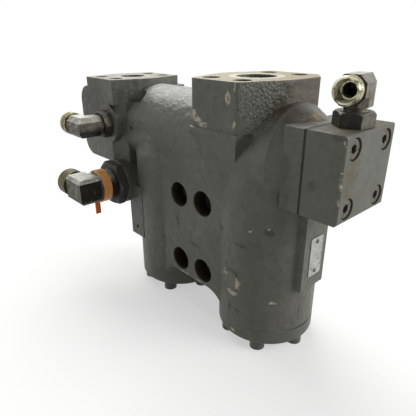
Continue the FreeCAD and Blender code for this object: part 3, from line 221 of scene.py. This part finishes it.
def done(finish, edge_mm):
    """Link the colour, the roughness and the relief, over edges rounded by a real radius."""
    tree, sockets = finish.tree, finish.shader.inputs
    for value, socket in ((finish.colour, "Base Color"), (finish.rough, "Roughness")):
        if isinstance(value, bpy.types.NodeSocket):
            tree.links.new(value, sockets[socket])
        else:
            sockets[socket].default_value = value
    normal = add(tree, "Bevel", {"Radius": edge_mm * MM}, samples=BEVEL_SAMPLES).outputs[0]
    if finish.height is not None:
        normal = add(tree, "Bump", {"Height": finish.height, "Distance": 1.0, "Normal": normal}).outputs[0]
    tree.links.new(normal, sockets["Normal"])
    print(finish.material.name, "has", len(tree.nodes), "nodes")
    return finish.material


# %% [markdown]
# ## Enamelled iron
# The housing and its covers are grey iron, cast in sand, and the pilot block is milled from iron bar.
# All are under one coat of grey-green enamel. A flat grey would look like plastic. On the real casting
# the enamel is uneven, the sand left lumps of about 7 mm and grains of about 1.5 mm that catch the
# light, dust lies on what looks up, and oil and rust have run down the sides. One function lays all of
# that, and each casting gives the height of its own lumps and grains.

# %% The enamel that all castings share
ENAMEL = "#52534a"
ENAMEL_PALE = "#626359"
ENAMEL_WORN = "#41413a"
ENAMEL_SPECKS = "#7c7b6e"
DUST = "#77756a"
OIL_AND_RUST = "#352e23"
PRIMER = "#b5ae9b"
SEAM_BLACK = "#12110d"
UP = (0, 0, 1)
LUMPS_MM = 7
GRAINS_MM = 1.5


def enamelled_iron(name, lump_height_mm, grain_height_mm):
    """Grey-green enamel over iron, with its dust, its drips and the skin of its casting."""
    iron = Finish(name, ENAMEL, 0.46, specular=0.4)
    coat(iron, [mottle(iron, 45, detail=4)], ENAMEL_PALE)
    coat(iron, [mottle(iron, LUMPS_MM, detail=6, roughness=0.65), 0.35], ENAMEL_WORN, 0.52)
    coat(iron, [facing(iron, UP, 0.75, 0.98), mottle(iron, 10, 0.35, 0.65, detail=6), 0.7], DUST, 0.55)
    coat(iron, [mottle(iron, 26, 0.56, 0.72, detail=8, roughness=0.7), 0.5], OIL_AND_RUST, 0.5)
    drips = mottle(iron, 6, 0.62, 0.78, detail=5, roughness=0.6, stretch=(1, 1, 0.18))
    coat(iron, [drips, 0.22], OIL_AND_RUST, 0.42)
    coat(iron, [mottle(iron, 2.2, 0.68, 0.72, detail=3), 0.35], ENAMEL_SPECKS)
    coat(iron, [facing(iron, UP, 0.3, 0.8), mottle(iron, 20, 0.3, 0.6), 0.7], ENAMEL, 0.38)
    relief(iron, [mottle(iron, LUMPS_MM, 0.25, 0.75, detail=2)], lump_height_mm)
    relief(iron, [mottle(iron, GRAINS_MM, 0.2, 0.8, detail=2)], grain_height_mm)
    return iron


# %% [markdown]
# ### The housing's rough skin, grime and painted shade
# Beside the main flange the sand burned on and left a rough skin. Oil ran over the spool barrel and took up
# dirt. The left end and the second flange's front are darkened as grime and painted shade, and the main
# flange's front as painted shade. Each of these is in a place that can be measured on the part, so each is
# a spot with a ragged rim, broken up by noise.

# %% Rough skin, grime and painted shade
housing = enamelled_iron("enamelled_sand_cast_iron", 0.6, 0.14)
ragged = wander(housing, 2.0)
very_ragged = wander(housing, 6.0)

rough_skin = spot(housing, (66, -72, 122), (17, 26, 21), very_ragged, 0.25)
coat(housing, [rough_skin, mottle(housing, 1.7, 0.4, 0.6, detail=2), 0.6], "#7e7f74")
relief(housing, [rough_skin, mottle(housing, 2.2, 0.3, 0.7, detail=2)], 0.9)

oil = spot(housing, (92, -62, 116), (27, 15, 17), very_ragged, 0.5)
coat(housing, [oil, mottle(housing, 9, 0.2, 0.5, detail=7, roughness=0.65)], "#352a19", 0.62)
sand_crust = spot(housing, (100, -48, 116), (9, 16, 5), very_ragged, 0.5)
coat(housing, [sand_crust, mottle(housing, 3, 0.42, 0.56, detail=6, roughness=0.7)], "#8a7c5e", 0.7)
flange_side = spot(housing, (80, -30, 126), (14, 44, 24), very_ragged, 0.3)
coat(housing, [flange_side, facing(housing, (1, 0, 0), 0.55, 0.9), 0.85], "#423d2e")
# Grime and painted shade: the left end is darkened.
left_end_grime_and_shade = spot(housing, (-150, -86, 96), (34, 26, 46), very_ragged, 0.6)
coat(housing, [left_end_grime_and_shade, mottle(housing, 9, 0.0, 0.5, detail=6), 0.8], "#302d24", 0.5)
# Grime and painted shade: the second flange's front is darkened.
second_front_grime_and_shade = spot(housing, (-140, -93, 100), (34, 6, 44), very_ragged, 0.5)
coat(housing, [second_front_grime_and_shade, mottle(housing, 18, 0.25, 0.6, detail=7, roughness=0.65), 0.6], "#2d2a22")
# Painted shade: the main flange's front is darkened.
flange_front_painted_shade = spot(housing, (15, -93, 121), (62, 6, 26), very_ragged, 0.4)
coat(housing, [flange_front_painted_shade, mottle(housing, 9, 0.1, 0.7, detail=6), 0.6], "#38372f")
flange_corner = spot(housing, (77.7, -46, 124), (3.0, 1.0, 15), ragged)
coat(housing, [flange_corner], "#4c452e")
print("housing grime laid:", len(housing.tree.nodes), "nodes so far")

# %% [markdown]
# Whole areas are darker as well. The head's front carries grime and painted shade, the right barrel beside
# the block carries painted shade, and the spool barrel between the flanges is made a little darker. Each is
# a wide spot with a soft rim. The head's is thick, the others are thin. One small pit beside the flange's
# corner is dark too.

# %% Painted shade and darker films
# The head's front is grime and painted shade, the right barrel is painted shade, the spool barrel is
# darker.
DARK_FILMS_AND_SHADE = [((-137, -93, 111), (20, 10, 26), 0.7, 0.85, "#302d24"),
         ((98, -80, 29), (11, 12, 75), 0.8, 0.45, "#302f29"),
         ((-36, -80, 105), (60, 22, 34), 0.5, 0.35, "#353429")]
for centre, size, soft, strength, colour in DARK_FILMS_AND_SHADE:
    coat(housing, [spot(housing, centre, size, very_ragged, soft), strength], colour)
flange_pit = spot(housing, (66.4, -73.3, 127.7), (3, 4, 4), ragged, 0.6)
coat(housing, [flange_pit, 0.7], "#332f26")
print("films:", len(DARK_FILMS_AND_SHADE))

# %% [markdown]
# ### Chips and stains
# Knocks broke the enamel down to its beige primer, mostly at the flange's lower corners and round the
# cast boss, and small dents hold black dirt. They could be modelled, but they are far thinner than a
# millimetre, so a change of colour is all that the eye sees. A chip is a spot whose surface is broken
# up by fine noise, and a stain is a softer one that is smeared.

# %% Chips and stains
broken = mottle(housing, 4, 0.38, 0.47, detail=6, roughness=0.7)
smeared = mottle(housing, 3, 0.25, 0.55, detail=6, roughness=0.65)
CHIPS = [((54.5, -93, 127.6), (2.6, 2, 5.0)), ((61, -93, 134.6), (1.0, 2, 3.2)),
         ((61, -93, 109.4), (1.6, 2, 3.6)), ((18.4, -93, 111.8), (2.4, 2, 4.5)),
         ((22.8, -93, 107.5), (4.0, 2, 3.0)), ((29, -93, 105), (4.6, 2, 2.4)),
         ((65.4, -88.3, -20.1), (2.8, 4, 6.5)), ((58.6, -88.4, -31.7), (6, 4, 3.0)),
         ((46.7, -85.8, -26.8), (2.2, 4, 5.0)), ((51.2, -87.2, -15.1), (5.5, 4, 2.4)),
         ((92.3, -75.3, -32.1), (2.6, 4, 1.6)), ((87.4, -79.7, 33.5), (1.3, 3, 1.3)),
         ((74.3, -86.5, 29.2), (1.2, 3, 1.2)), ((-54.6, -86, 79.1), (1.2, 1.5, 1.2)),
         ((-12, -82.9, -47.6), (9, 2, 1.7)), ((10, -82.9, -47.8), (12, 2, 1.4))]
for centre, size in CHIPS:
    coat(housing, [spot(housing, centre, size, ragged, 0.3), broken], PRIMER, 0.6)

STAINS = [((87.9, -79.3, 30.6), (5.5, 6, 3.6)), ((56.4, -88.2, -48.1), (2.6, 5, 7)),
          ((64.9, -88.4, -47.7), (3.4, 5, 2.8)), ((46.8, -85.9, 8.6), (1.5, 4, 4.4)),
          ((53.7, -87.8, 2.4), (1.6, 4, 4.6)), ((50.9, -87.2, -7.8), (2.4, 4, 6)),
          ((66.9, -88.2, 14.9), (8, 4, 2.4)), ((-106, -93, 98), (7, 3, 9)), ((41.5, -83, 20), (3, 4, 3)),
          ((-18, -83, 8), (3, 3, 14)), ((5, -83, -10), (9, 3, 3)), ((-95, -93, 108), (3, 3, 8))]
for centre, size in STAINS:
    coat(housing, [spot(housing, centre, size, ragged, 0.5), smeared, 0.9], "#1d1c17")
cast_boss = spot(housing, (57, -89, -21), (9, 4, 9), ragged, 0.4)
coat(housing, [cast_boss, smeared, 0.7], "#6c6b61")
pad_edge_rust = spot(housing, (107.2, -62.5, 20), (2.4, 1.4, 46), ragged, 0.5)
coat(housing, [pad_edge_rust, 0.85], "#372a1e")
parting_line = spot(housing, (103.1, -54.4, -42), (1.6, 0.5, 15), None, 0.5)
coat(housing, [parting_line, 0.8], "#24231e")
print("chips:", len(CHIPS), "stains:", len(STAINS))

# %% [markdown]
# ### Machined faces
# Machining comes last on a casting and cuts through the enamel. The web's screw holes are bare and
# brown with oil, rustier at their mouths, and the rear face is bare iron gone beige. These faces could
# be picked out in the mesh and given a second material. Levels and spots in the same material do it
# without touching the mesh.

# %% Screw holes and rear face
ALL_OVER = 5000
web_holes = [spot(housing, (0, -42, 0), (30, ALL_OVER, ALL_OVER), None, 0.02),
             spot(housing, (0, -42, 0), (ALL_OVER, ALL_OVER, 46.3), None, 0.01),
             past(housing, "Y", -82.4, -80.5), past(housing, "Y", -0.3, -1.5)]
hole_mouths = past(housing, "Y", -74, -81)
coat(housing, web_holes, "#2b251b", 0.34)
coat(housing, [*web_holes, hole_mouths, mottle(housing, 5, 0.35, 0.55), 0.7], "#4f3d29", 0.5)

BARE_IRON = "#83775a"
rear_face = [spot(housing, (0, 0, 0), (44, 3, 60), None, 0.02), past(housing, "Y", -0.4, -0.1)]
coat(housing, rear_face, BARE_IRON, 0.5)
coat(housing, [*rear_face, mottle(housing, 11, 0.4, 0.65, detail=7, roughness=0.65)], "#665b43", 0.55)
print("machined faces laid:", len(housing.tree.nodes), "nodes so far")

# %% [markdown]
# The main flange's top is bare iron gone beige too. The second flange's top is greyer, as some enamel is
# left on it. A hose flange's seal left a pale ring round each port, and a thin dark line at its rim is
# painted shadow. One loop lays the same coats on both tops, each with its own port and colours. Two dark
# dots lie beside the main port.

# %% Flange tops
SEAL_WIDTH = 6.6
SEAL_RIM_SHADOW = 7.4
FLANGE_TOPS = [((39.2, -46, 137.8), 16.0, BARE_IRON, "#aba78a"),
               ((-126.3, -53, 127.6), 12.5, "#6d6c60", "#7f7e70")]
for centre, port_mm, bare_iron, seal_ring in FLANGE_TOPS:
    level = centre[2]
    top = [spot(housing, centre, (60, 60, 3), None, 0.05), past(housing, "Z", level - 0.35, level - 0.1)]
    sealed = spot(housing, centre, (port_mm + SEAL_WIDTH, port_mm + SEAL_WIDTH, 60), None, 0.03)
    rim_shadow = spot(housing, centre, (port_mm + SEAL_RIM_SHADOW, port_mm + SEAL_RIM_SHADOW, 60), None, 0.02)
    coat(housing, top, bare_iron, 0.55)
    coat(housing, [*top, mottle(housing, 9, 0.42, 0.62, detail=7, roughness=0.65), 0.6], "#7b6c50", 0.55)
    # Painted shadow: a thin dark line round the seal ring's rim.
    coat(housing, [*top, rim_shadow], "#4f4735", 0.5)
    coat(housing, [*top, sealed], seal_ring, 0.4)
    coat(housing, [*top, sealed, mottle(housing, 3, 0.5, 0.66, detail=5), 0.6], "#85805f", 0.5)
DARK_DOTS = [(47.7, -62.5, 137.8), (52.4, -57.3, 137.8)]
for centre in DARK_DOTS:
    coat(housing, [spot(housing, centre, (1.1, 1.1, 1), None, 0.3)], "#1c1812")
print("flange tops:", len(FLANGE_TOPS), "dark dots:", len(DARK_DOTS))

# %% [markdown]
# ### Joints
# Where two pieces meet, the gap is black with old dirt: at the block and at both covers, where it is wider
# on the right side. Grease and painted shadow ring the bosses of the two elbows. The real gap is a few
# tenths of a millimetre. That is too fine to show in the picture, so the line at the block is drawn 2.6 mm
# wide.

# %% Joints
SEAM_AT_BLOCK = (1.3, 500, 500)
JOINTS = [((109.3, -46, 82), SEAM_AT_BLOCK), ((61.5, -46, -61.2), (60, 60, 0.5)),
          ((-61.5, -46, -61.2), (60, 60, 0.4)), ((108, -45, -61.2), (14, 26, 1.0))]
for centre, size in JOINTS:
    coat(housing, [spot(housing, centre, size, None, 0.4)], SEAM_BLACK, 0.7)
# Grease and painted shadow: a dark ring round each elbow's boss.
BOSS_GREASE_AND_SHADOW = [((-114.8, -95, 84.8), 15.5), ((-103.8, -95, 26.3), 22.5)]
for centre, radius in BOSS_GREASE_AND_SHADOW:
    coat(housing, [spot(housing, centre, (radius, 3, radius), None, 0.2), 0.75], "#24211b", 0.5)
housing_finish = done(housing, 1.4)

# %% [markdown]
# ### Covers and end cap
# The covers and the end cap carry the same enamel on a plain, smoother casting. Their rims are chipped
# to the primer, which worn edges broken up by noise give at once for all of them.

# %% Covers and end cap
cover = enamelled_iron("enamelled_cover_iron", 0.3, 0.12)
coat(cover, [worn_edges(cover, 1.0), mottle(cover, 6, 0.55, 0.65, detail=6)], PRIMER, 0.6)
coat(cover, [spot(cover, (60.7, -88.5, -69.3), (3, 3, 1.6), wander(cover, 1.5), 0.3)], PRIMER, 0.6)
coat(cover, [spot(cover, (108, -45, -61.2), (14, 26, 1.0), None, 0.4)], SEAM_BLACK, 0.7)
cover_finish = done(cover, 1.2)

# %% [markdown]
# ### Pilot block
# The block is milled, so its faces are flat with sharp edges, and wear shows there first. Its top is
# brown with oil, its end face has a brown film between the screws, and its front edge is chipped
# bright. The front has three dark smudges. All of these are spots at measured places, over the shared
# enamel.

# %% Pilot block
BLOCK_END = 138.6
BLOCK_FRONT = -77.6
block = enamelled_iron("enamelled_milled_iron", 0.06, 0.03)
block_ragged = wander(block, 1.5)
block_broken = mottle(block, 3, 0.45, 0.55, detail=6, roughness=0.7)
coat(block, [facing(block, UP, 0.8, 0.95), mottle(block, 8, 0.2, 0.5, detail=6), 0.85], "#453f30", 0.75)
coat(block, [spot(block, (117.6, BLOCK_FRONT, 75.6), (4.2, 2, 4.6), block_ragged, 0.5), 0.75], "#343430")
smudge = spot(block, (132.9, BLOCK_FRONT, 98), (6, 2, 8), block_ragged, 0.9)
coat(block, [smudge, block_broken, 0.5], "#34332d")
coat(block, [spot(block, (133, BLOCK_FRONT, 110), (6, 3, 2.5), block_ragged, 0.6), 0.8], "#392f26")
coat(block, [spot(block, (BLOCK_END, -66, 84), (3, 11, 28), wander(block, 5.0), 0.6), 0.85], "#4b4229")
coat(block, [spot(block, (BLOCK_END, -40, 72), (3, 16, 9), wander(block, 5.0), 0.8), 0.5], "#4f4936")

BLOCK_SCREWS = [(BLOCK_END, -46 + side, 82.1 + level) for side in (-20, 20) for level in (-20, 20)]
for centre in BLOCK_SCREWS:
    coat(block, [spot(block, centre, (2, 10, 10), wander(block, 2.0), 0.4), block_broken, 0.5], "#4a3c31")
BLOCK_CHIPS = [(BLOCK_END, -77.8, 86.6), (BLOCK_END, BLOCK_FRONT, 79), (BLOCK_END, BLOCK_FRONT, 108.7),
               (BLOCK_END, BLOCK_FRONT, 70)]
for centre in BLOCK_CHIPS:
    coat(block, [spot(block, centre, (1.6, 1.6, 4.5), block_ragged, 0.4), block_broken], "#bdb7a8")
coat(block, [worn_edges(block, 0.8), mottle(block, 5, 0.52, 0.62, detail=6)], "#7d7869", 0.5)
coat(block, [spot(block, (109.3, -46, 90), SEAM_AT_BLOCK, None, 0.4)], SEAM_BLACK, 0.7)
block_finish = done(block, 0.7)

# %% [markdown]
# ## Forged elbows under zinc
# The elbows are forged steel with a zinc coat that chromate turned yellow. It stays yellow on the tube
# ends. The forging's top is painted pale grey as a painted highlight, and the faces that look down or
# forward are painted dark, as grease and painted shade. Each elbow could have the same material, but they
# aged differently, so one function makes the finish and each elbow gives its own colours and its own side
# of grease and painted shade. The threads of the tube ends are drawn as relief by a wave with their real
# pitch, 1.5 or 2 mm, because a modelled thread would take many faces for little gain.

# %% Zinc on forged steel
# A Wave node at a scale of 1 repeats after pi / 10 metres.
WAVE_LENGTH = math.pi / 10


def zinc_elbow(name, clean, tube_end, yellow, thread_axis, pitch_mm, grease_and_shade_side, grease_and_shade_line):
    """Zinc over a forging, yellow and threaded at its tube end, dark on one side past a level with grease
    and painted shade.
    """
    zinc = Finish(name, clean, 0.36, metallic=0.7)
    coat(zinc, [mottle(zinc, 5, 0.35, 0.7, detail=6)], "#7d7b71", 0.42)
    coat(zinc, [mottle(zinc, 9, 0.42, 0.6, detail=7, roughness=0.65), 0.75], "#4c4636", 0.55)
    # Grease and painted shade: dark on the faces that look to one side, past a level.
    coat(zinc, [facing(zinc, grease_and_shade_side, 0.3, 0.65), past(zinc, "Z", *grease_and_shade_line),
                mottle(zinc, 7, 0.0, 0.4, detail=6), 0.95], "#1a1915", 0.5)
    # Painted shade: the faces that look forward are darker.
    coat(zinc, [facing(zinc, (0, -1, -0.1), 0.6, 0.9), mottle(zinc, 4, 0.2, 0.5, detail=6), 0.9], "#363228",
         0.5)
    # Painted highlight: the faces that look up are paler.
    coat(zinc, [facing(zinc, UP, 0.6, 0.95), mottle(zinc, 5, 0.2, 0.6), 0.65], "#bcbcb4", 0.32)
    coat(zinc, [worn_edges(zinc, 0.7), mottle(zinc, 4, 0.4, 0.6, detail=5), 0.7], "#aeab9c", 0.4)
    centre, size = tube_end
    end = spot(zinc, centre, size, None, 0.06)
    coat(zinc, [end], yellow, 0.38)
    coat(zinc, [end, mottle(zinc, 5, 0.42, 0.6, detail=6, roughness=0.6)], "#565031", 0.5)
    threads = add(zinc.tree, "TexWave", {"Vector": zinc.at, "Scale": WAVE_LENGTH / (pitch_mm * MM)},
                  bands_direction=thread_axis)
    relief(zinc, [end, threads.outputs["Fac"]], 0.35)
    relief(zinc, [mottle(zinc, 2.5)], 0.05)
    return zinc


# %% [markdown]
# The upper elbow is the cleanest and has a dab of blue paint under its tube end, which is one more
# spot. The lower one is brown at its tube end. The pilot elbow is the brownest forging, with the
# brightest tube end.

# %% The three elbows
upper_zinc = zinc_elbow("zinc_on_forged_steel_upper", "#a5a499", ((-141, -119.6, 84.8), (12, 16, 16)),
                        "#8f8760", "X", 1.5, (0.8, -0.2, -0.56), (86, 80))
blue_dab = spot(upper_zinc, (-128, -131, 76), (7, 4, 3.5), wander(upper_zinc, 1.5), 0.4)
coat(upper_zinc, [blue_dab, 0.8], "#35327c", 0.4)
upper_finish = done(upper_zinc, 0.6)
lower_zinc = zinc_elbow("zinc_on_forged_steel_lower", "#b3b2a9", ((-134, -131.1, 26.3), (14, 20, 20)),
                        "#463a10", "X", 2.0, (0.85, -0.2, -0.48), (42, 36))
lower_finish = done(lower_zinc, 0.6)
pilot_zinc = zinc_elbow("zinc_on_forged_steel_pilot", "#5c5849", ((127.2, -66.5, 135.75), (16, 9.5, 16)),
                        "#cfccb0", "Y", 1.5, (-0.1, -0.8, -0.55), (142, 132))
pilot_finish = done(pilot_zinc, 0.5)

# %% [markdown]
# ## Nuts
# Lock nuts are turned from hexagon bar and darkened by oil. Their worn corners show the steel, and the
# faces that look forward and down are painted black, as grease and painted shade. The large nut on the
# lower elbow is so oily that hardly any metal shows, so it gets a lower metallic value and a fuller coat of
# grease and painted shade.

# %% Nuts
def oiled_nut(name, colour, grease_and_shade, metallic=0.55):
    """Hexagon bar under oil, black in front with grease and painted shade, and worn at its corners."""
    steel = Finish(name, colour, 0.42, metallic=metallic)
    coat(steel, [mottle(steel, 6, 0.35, 0.6, detail=6, roughness=0.65), 0.7], "#2f2c24", 0.55)
    # Grease and painted shade: the faces that look forward and down are black.
    coat(steel, [facing(steel, (0.1, -0.8, -0.6), 0.2, 0.7), mottle(steel, 6, 0.05, 0.4, detail=5), grease_and_shade],
         "#14130f", 0.5)
    coat(steel, [worn_edges(steel, 0.6), mottle(steel, 4, 0.45, 0.6, detail=5), 0.6], "#7f7c6f", 0.4)
    relief(steel, [mottle(steel, 2.5)], 0.05)
    return done(steel, 0.5)


nut_finish = oiled_nut("oiled_hexagon_bar", "#636054", 0.9)
dark_nut_finish = oiled_nut("oil_blackened_hexagon_bar", "#38372d", 1.0, 0.2)

# %% [markdown]
# ## Screws
# The socket screws of the block and the end cap were blackened, and weather turned their heads grey-brown
# with bright rims. The nameplate's rivets went the same way. The block screws' hexagon sockets are deep,
# and hardly any light comes out of them, so past their mouths they are painted nearly black, as painted
# shade.
# The cover screws were enamelled with their covers, so they get the covers' finish.

# %% Screws
screw = Finish("weathered_black_oxide", "#67635a", 0.5, metallic=0.5)
coat(screw, [mottle(screw, 3, 0.4, 0.65, detail=6, roughness=0.65)], "#463e34", 0.6)
coat(screw, [worn_edges(screw, 0.5), 0.7], "#8f8b83", 0.4)
# Painted shade: the block screws' sockets are nearly black past their mouths.
socket_shade_near_block = spot(screw, (120, -46, 82), (30, 60, 60), None, 0.01)
coat(screw, [socket_shade_near_block, past(screw, "X", 135.4, 134.2)], "#100f0c", 0.6)
screw_finish = done(screw, 0.35)

# %% [markdown]
# ## Steel inside
# The spool, the poppets and their seats are ground steel that stays bright in oil, with fine marks. The
# springs are phosphated, which is a dull dark grey. Both are metal with a second tone in patches, so
# one function makes them. Little of them shows, and only through the open ports.

# %% Ground and phosphated steel
def turned_steel(name, colour, second, roughness, metallic=1.0):
    """Steel with the fine marks of turning or grinding."""
    steel = Finish(name, colour, roughness, metallic=metallic)
    coat(steel, [mottle(steel, 12, 0.45, 0.7, detail=6)], second, roughness + 0.15)
    relief(steel, [mottle(steel, 0.6, 0.2, 0.8, stretch=(1, 1, 0.1))], 0.01)
    return done(steel, 0.3)


ground_finish = turned_steel("ground_valve_steel", "#b9bbbd", "#989a9c", 0.2)
spring_finish = turned_steel("phosphated_spring_steel", "#5d5f61", "#3b3c3e", 0.4, 0.9)

# %% [markdown]
# ## Rubber
# Seals are moulded in black nitrile rubber, matt and almost even. Pure black would have no form, so it
# is a dark grey with paler patches and a faint moulded grain.

# %% Rubber
rubber = Finish("black_nitrile_rubber", "#1d1d1e", 0.6)
coat(rubber, [mottle(rubber, 6, detail=4)], "#29292a")
relief(rubber, [mottle(rubber, 0.8)], 0.03)
rubber_finish = done(rubber, 0.2)

# %% [markdown]
# ## Nylon
# The cable tie is moulded orange nylon with a satin gloss, dirty in spots, and redder where its tail is
# thin. Its fine ribs could be cut into the mesh, but they are only 0.08 mm high, so a wave as relief is
# enough.

# %% Nylon
RIB_MM = 1.4
nylon = Finish("orange_cable_tie_nylon", "#ffbd76", 0.38)
coat(nylon, [mottle(nylon, 5, 0.3, 0.7, detail=4)], "#ffab60", 0.45)
coat(nylon, [mottle(nylon, 3, 0.6, 0.72, detail=6), 0.5], "#9a5f30", 0.5)
coat(nylon, [past(nylon, "Z", 8.0, 6.0)], "#ff8236")
ribs = add(nylon.tree, "TexWave", {"Vector": nylon.at, "Scale": WAVE_LENGTH / (RIB_MM * MM)},
           bands_direction="Z")
relief(nylon, [ribs.outputs["Fac"]], 0.08)
nylon_finish = done(nylon, 0.3)

# %% [markdown]
# ## Nameplate
# The nameplate is aluminium, brushed along its length and spotted with dirt. Brushing could be
# thousands of thin lines, but noise that is stretched along the plate gives the same look.

# %% Aluminium
plate = Finish("brushed_nameplate_aluminium", "#b0b1ad", 0.42, metallic=0.6)
coat(plate, [mottle(plate, 7, 0.4, 0.65, detail=7, roughness=0.65)], "#92938e", 0.5)
coat(plate, [mottle(plate, 4, 0.56, 0.66, detail=7), 0.6], "#5d5c55", 0.6)
relief(plate, [mottle(plate, 0.7, 0.2, 0.8, stretch=(1, 1, 0.06))], 0.02)
plate_finish = done(plate, 0.2)

# %% [markdown]
# ## Each piece and its finish
# The pieces of the frame arrive with plain materials. A table of finishes with the pieces that wear
# them is easier to check than a line for each piece, and the count shows that none was forgotten.

# %% Give every node its finish
FINISHES = {
    housing_finish: ["valve_housing"],
    cover_finish: ["right_bottom_cover", "left_bottom_cover", "spool_end_cap", "right_cover_screws",
                   "left_cover_screws"],
    block_finish: ["pilot_block"],
    upper_finish: ["upper_elbow"],
    lower_finish: ["lower_elbow"],
    pilot_finish: ["pilot_elbow"],
    nut_finish: ["upper_elbow_nut", "pilot_elbow_nut"],
    dark_nut_finish: ["lower_elbow_nut"],
    screw_finish: ["pilot_block_screws", "spool_cap_screws", "nameplate_rivets"],
    ground_finish: ["pilot_piston", "main_spool", "spool_spring_seat", "load_holding_poppet",
                    "load_holding_seat", "lifting_check_poppet", "lifting_check_seat"],
    spring_finish: ["spool_spring", "poppet_spring", "check_spring"],
    rubber_finish: ["pilot_piston_seal", "right_cover_seal", "left_cover_seal", "cylinder_port_seal",
                    "elbow_seals"],
    nylon_finish: ["cable_tie"],
    plate_finish: ["nameplate"],
}
for finish, names in FINISHES.items():
    for name in names:
        mesh = nodes[name].data
        mesh.materials.clear()
        mesh.materials.append(finish)
print("finished nodes:", sum(len(names) for names in FINISHES.values()), "of", len(nodes))

# %% [markdown]
# ## White paper floor
# The valve stands on the heads of its cover screws, on white paper. A plain white floor would either
# clip or go grey. So the floor lights the part as pale grey paper does, and only what the camera and
# the reflections see of it is white: near the part half of it is real shade, and far away it is plain
# white light, so that no horizon shows.

# %% Floor
FLOOR_HALF = 3.0
SHADE = 0.5
bpy.ops.object.select_all(action="DESELECT")
bpy.ops.mesh.primitive_plane_add(size=2 * FLOOR_HALF, location=(0, 0, cad_low[2]))
floor = bpy.context.object
floor.name = "pale_floor"
paper = Finish("white_paper_floor", "#a8a8a4", 0.9)
near_part = spot(paper, (0, -50, 0), (750, 750, 750), None, 0.8)
shaded = add(paper.tree, "BsdfDiffuse", {"Color": paint("#efefed")})
glow = add(paper.tree, "Emission", {"Color": (1, 1, 1, 1), "Strength": 1.0})
part_shade = add(paper.tree, "Math", {0: near_part, 1: SHADE}, operation="MULTIPLY")
white = add(paper.tree, "MixShader", {0: part_shade.outputs[0], 1: glow.outputs[0], 2: shaded.outputs[0]})


def seen_directly(tree):
    """1 for the rays of the camera, of reflections and of transmission, and 0 for those that only light."""
    rays = add(tree, "LightPath")
    seen = rays.outputs["Is Camera Ray"]
    for kind in ("Is Glossy Ray", "Is Transmission Ray"):
        seen = add(tree, "Math", {0: seen, 1: rays.outputs[kind]}, operation="MAXIMUM").outputs[0]
    return seen


shown = add(paper.tree, "MixShader", {0: seen_directly(paper.tree), 1: paper.shader.outputs[0],
                                      2: white.outputs[0]})
floor.data.materials.append(done(paper, 0.1))
paper.tree.links.new(shown.outputs[0], paper.tree.nodes["Material Output"].inputs["Surface"])

# %% [markdown]
# ## World
# The camera and the reflections see a white room. If it lit the part at full strength there would be no
# shadows, so for all other rays it is a quarter as bright.

# %% World
WORLD_LIGHT = 0.25
world = bpy.data.worlds.new("white_studio")
bpy.context.scene.world = world
world.use_nodes = True
sky = world.node_tree
strength = add(sky, "MapRange", {"Value": seen_directly(sky), "To Min": WORLD_LIGHT, "To Max": 1.0})
background = sky.nodes["Background"]
background.inputs["Color"].default_value = (1, 1, 1, 1)
sky.links.new(strength.outputs[0], background.inputs["Strength"])
print("world light:", WORLD_LIGHT)

# %% [markdown]
# ## Lamps
# A wide box of light hangs behind and to the left, a second one stands behind on the right, and the
# front gets little, so the upward faces are several times brighter than the front ones. Wide lamps near
# the part give the soft highlights along the barrels that one small lamp would not.

# %% Lamps
PART_MIDDLE = Vector((-0.01, -0.05, 0.03))
SOFT_BOXES = [("back_left_box", (-0.55, 0.25, 0.8), 1.3, 1.1, 22.0),
              ("back_right_box", (0.85, 0.45, 0.4), 1.2, 0.7, 10.0),
              ("front_left_fill", (-0.6, -0.8, 0.3), 1.2, 0.9, 2.2)]
for name, direction, distance, size, watts in SOFT_BOXES:
    lamp_data = bpy.data.lights.new(name, "AREA")
    lamp_data.size = size
    lamp_data.energy = watts
    lamp = bpy.data.objects.new(name, lamp_data)
    bpy.context.collection.objects.link(lamp)
    lamp.location = PART_MIDDLE + Vector(direction).normalized() * distance
    lamp.rotation_mode = "QUATERNION"
    lamp.rotation_quaternion = (PART_MIDDLE - lamp.location).to_track_quat("-Z", "Y")
print("lamps:", len(SOFT_BOXES))

# %% [markdown]
# ## Camera
# The camera looks down at 23 degrees from the front right corner through a 35 mm lens. Its place and
# its direction were solved from the edges and holes of the part, so they are written as numbers here
# instead of being aimed by eye.

# %% Camera
SOLVED_LENS_MM = 35.1
SOLVED_PLACE = Vector((0.2564, -0.2966, 0.1664))
SOLVED_RIGHT = Vector((0.676, 0.737, 0.0)).normalized()
SOLVED_AHEAD = Vector((-0.679, 0.622, -0.391)).normalized()
up = SOLVED_RIGHT.cross(SOLVED_AHEAD).normalized()
camera_data = bpy.data.cameras.new("product_camera")
camera_data.lens = SOLVED_LENS_MM
camera_data.sensor_width = 36.0
camera_data.clip_start = 0.01
camera = bpy.data.objects.new("product_camera", camera_data)
bpy.context.collection.objects.link(camera)
axes = Matrix((SOLVED_RIGHT, up, -SOLVED_AHEAD)).transposed().to_4x4()
camera.matrix_world = Matrix.Translation(SOLVED_PLACE) @ axes
bpy.context.scene.camera = camera
bpy.context.scene.view_settings.view_transform = "Standard"
print("camera looks down at", round(-math.degrees(math.asin(SOLVED_AHEAD.z)), 1), "degrees")
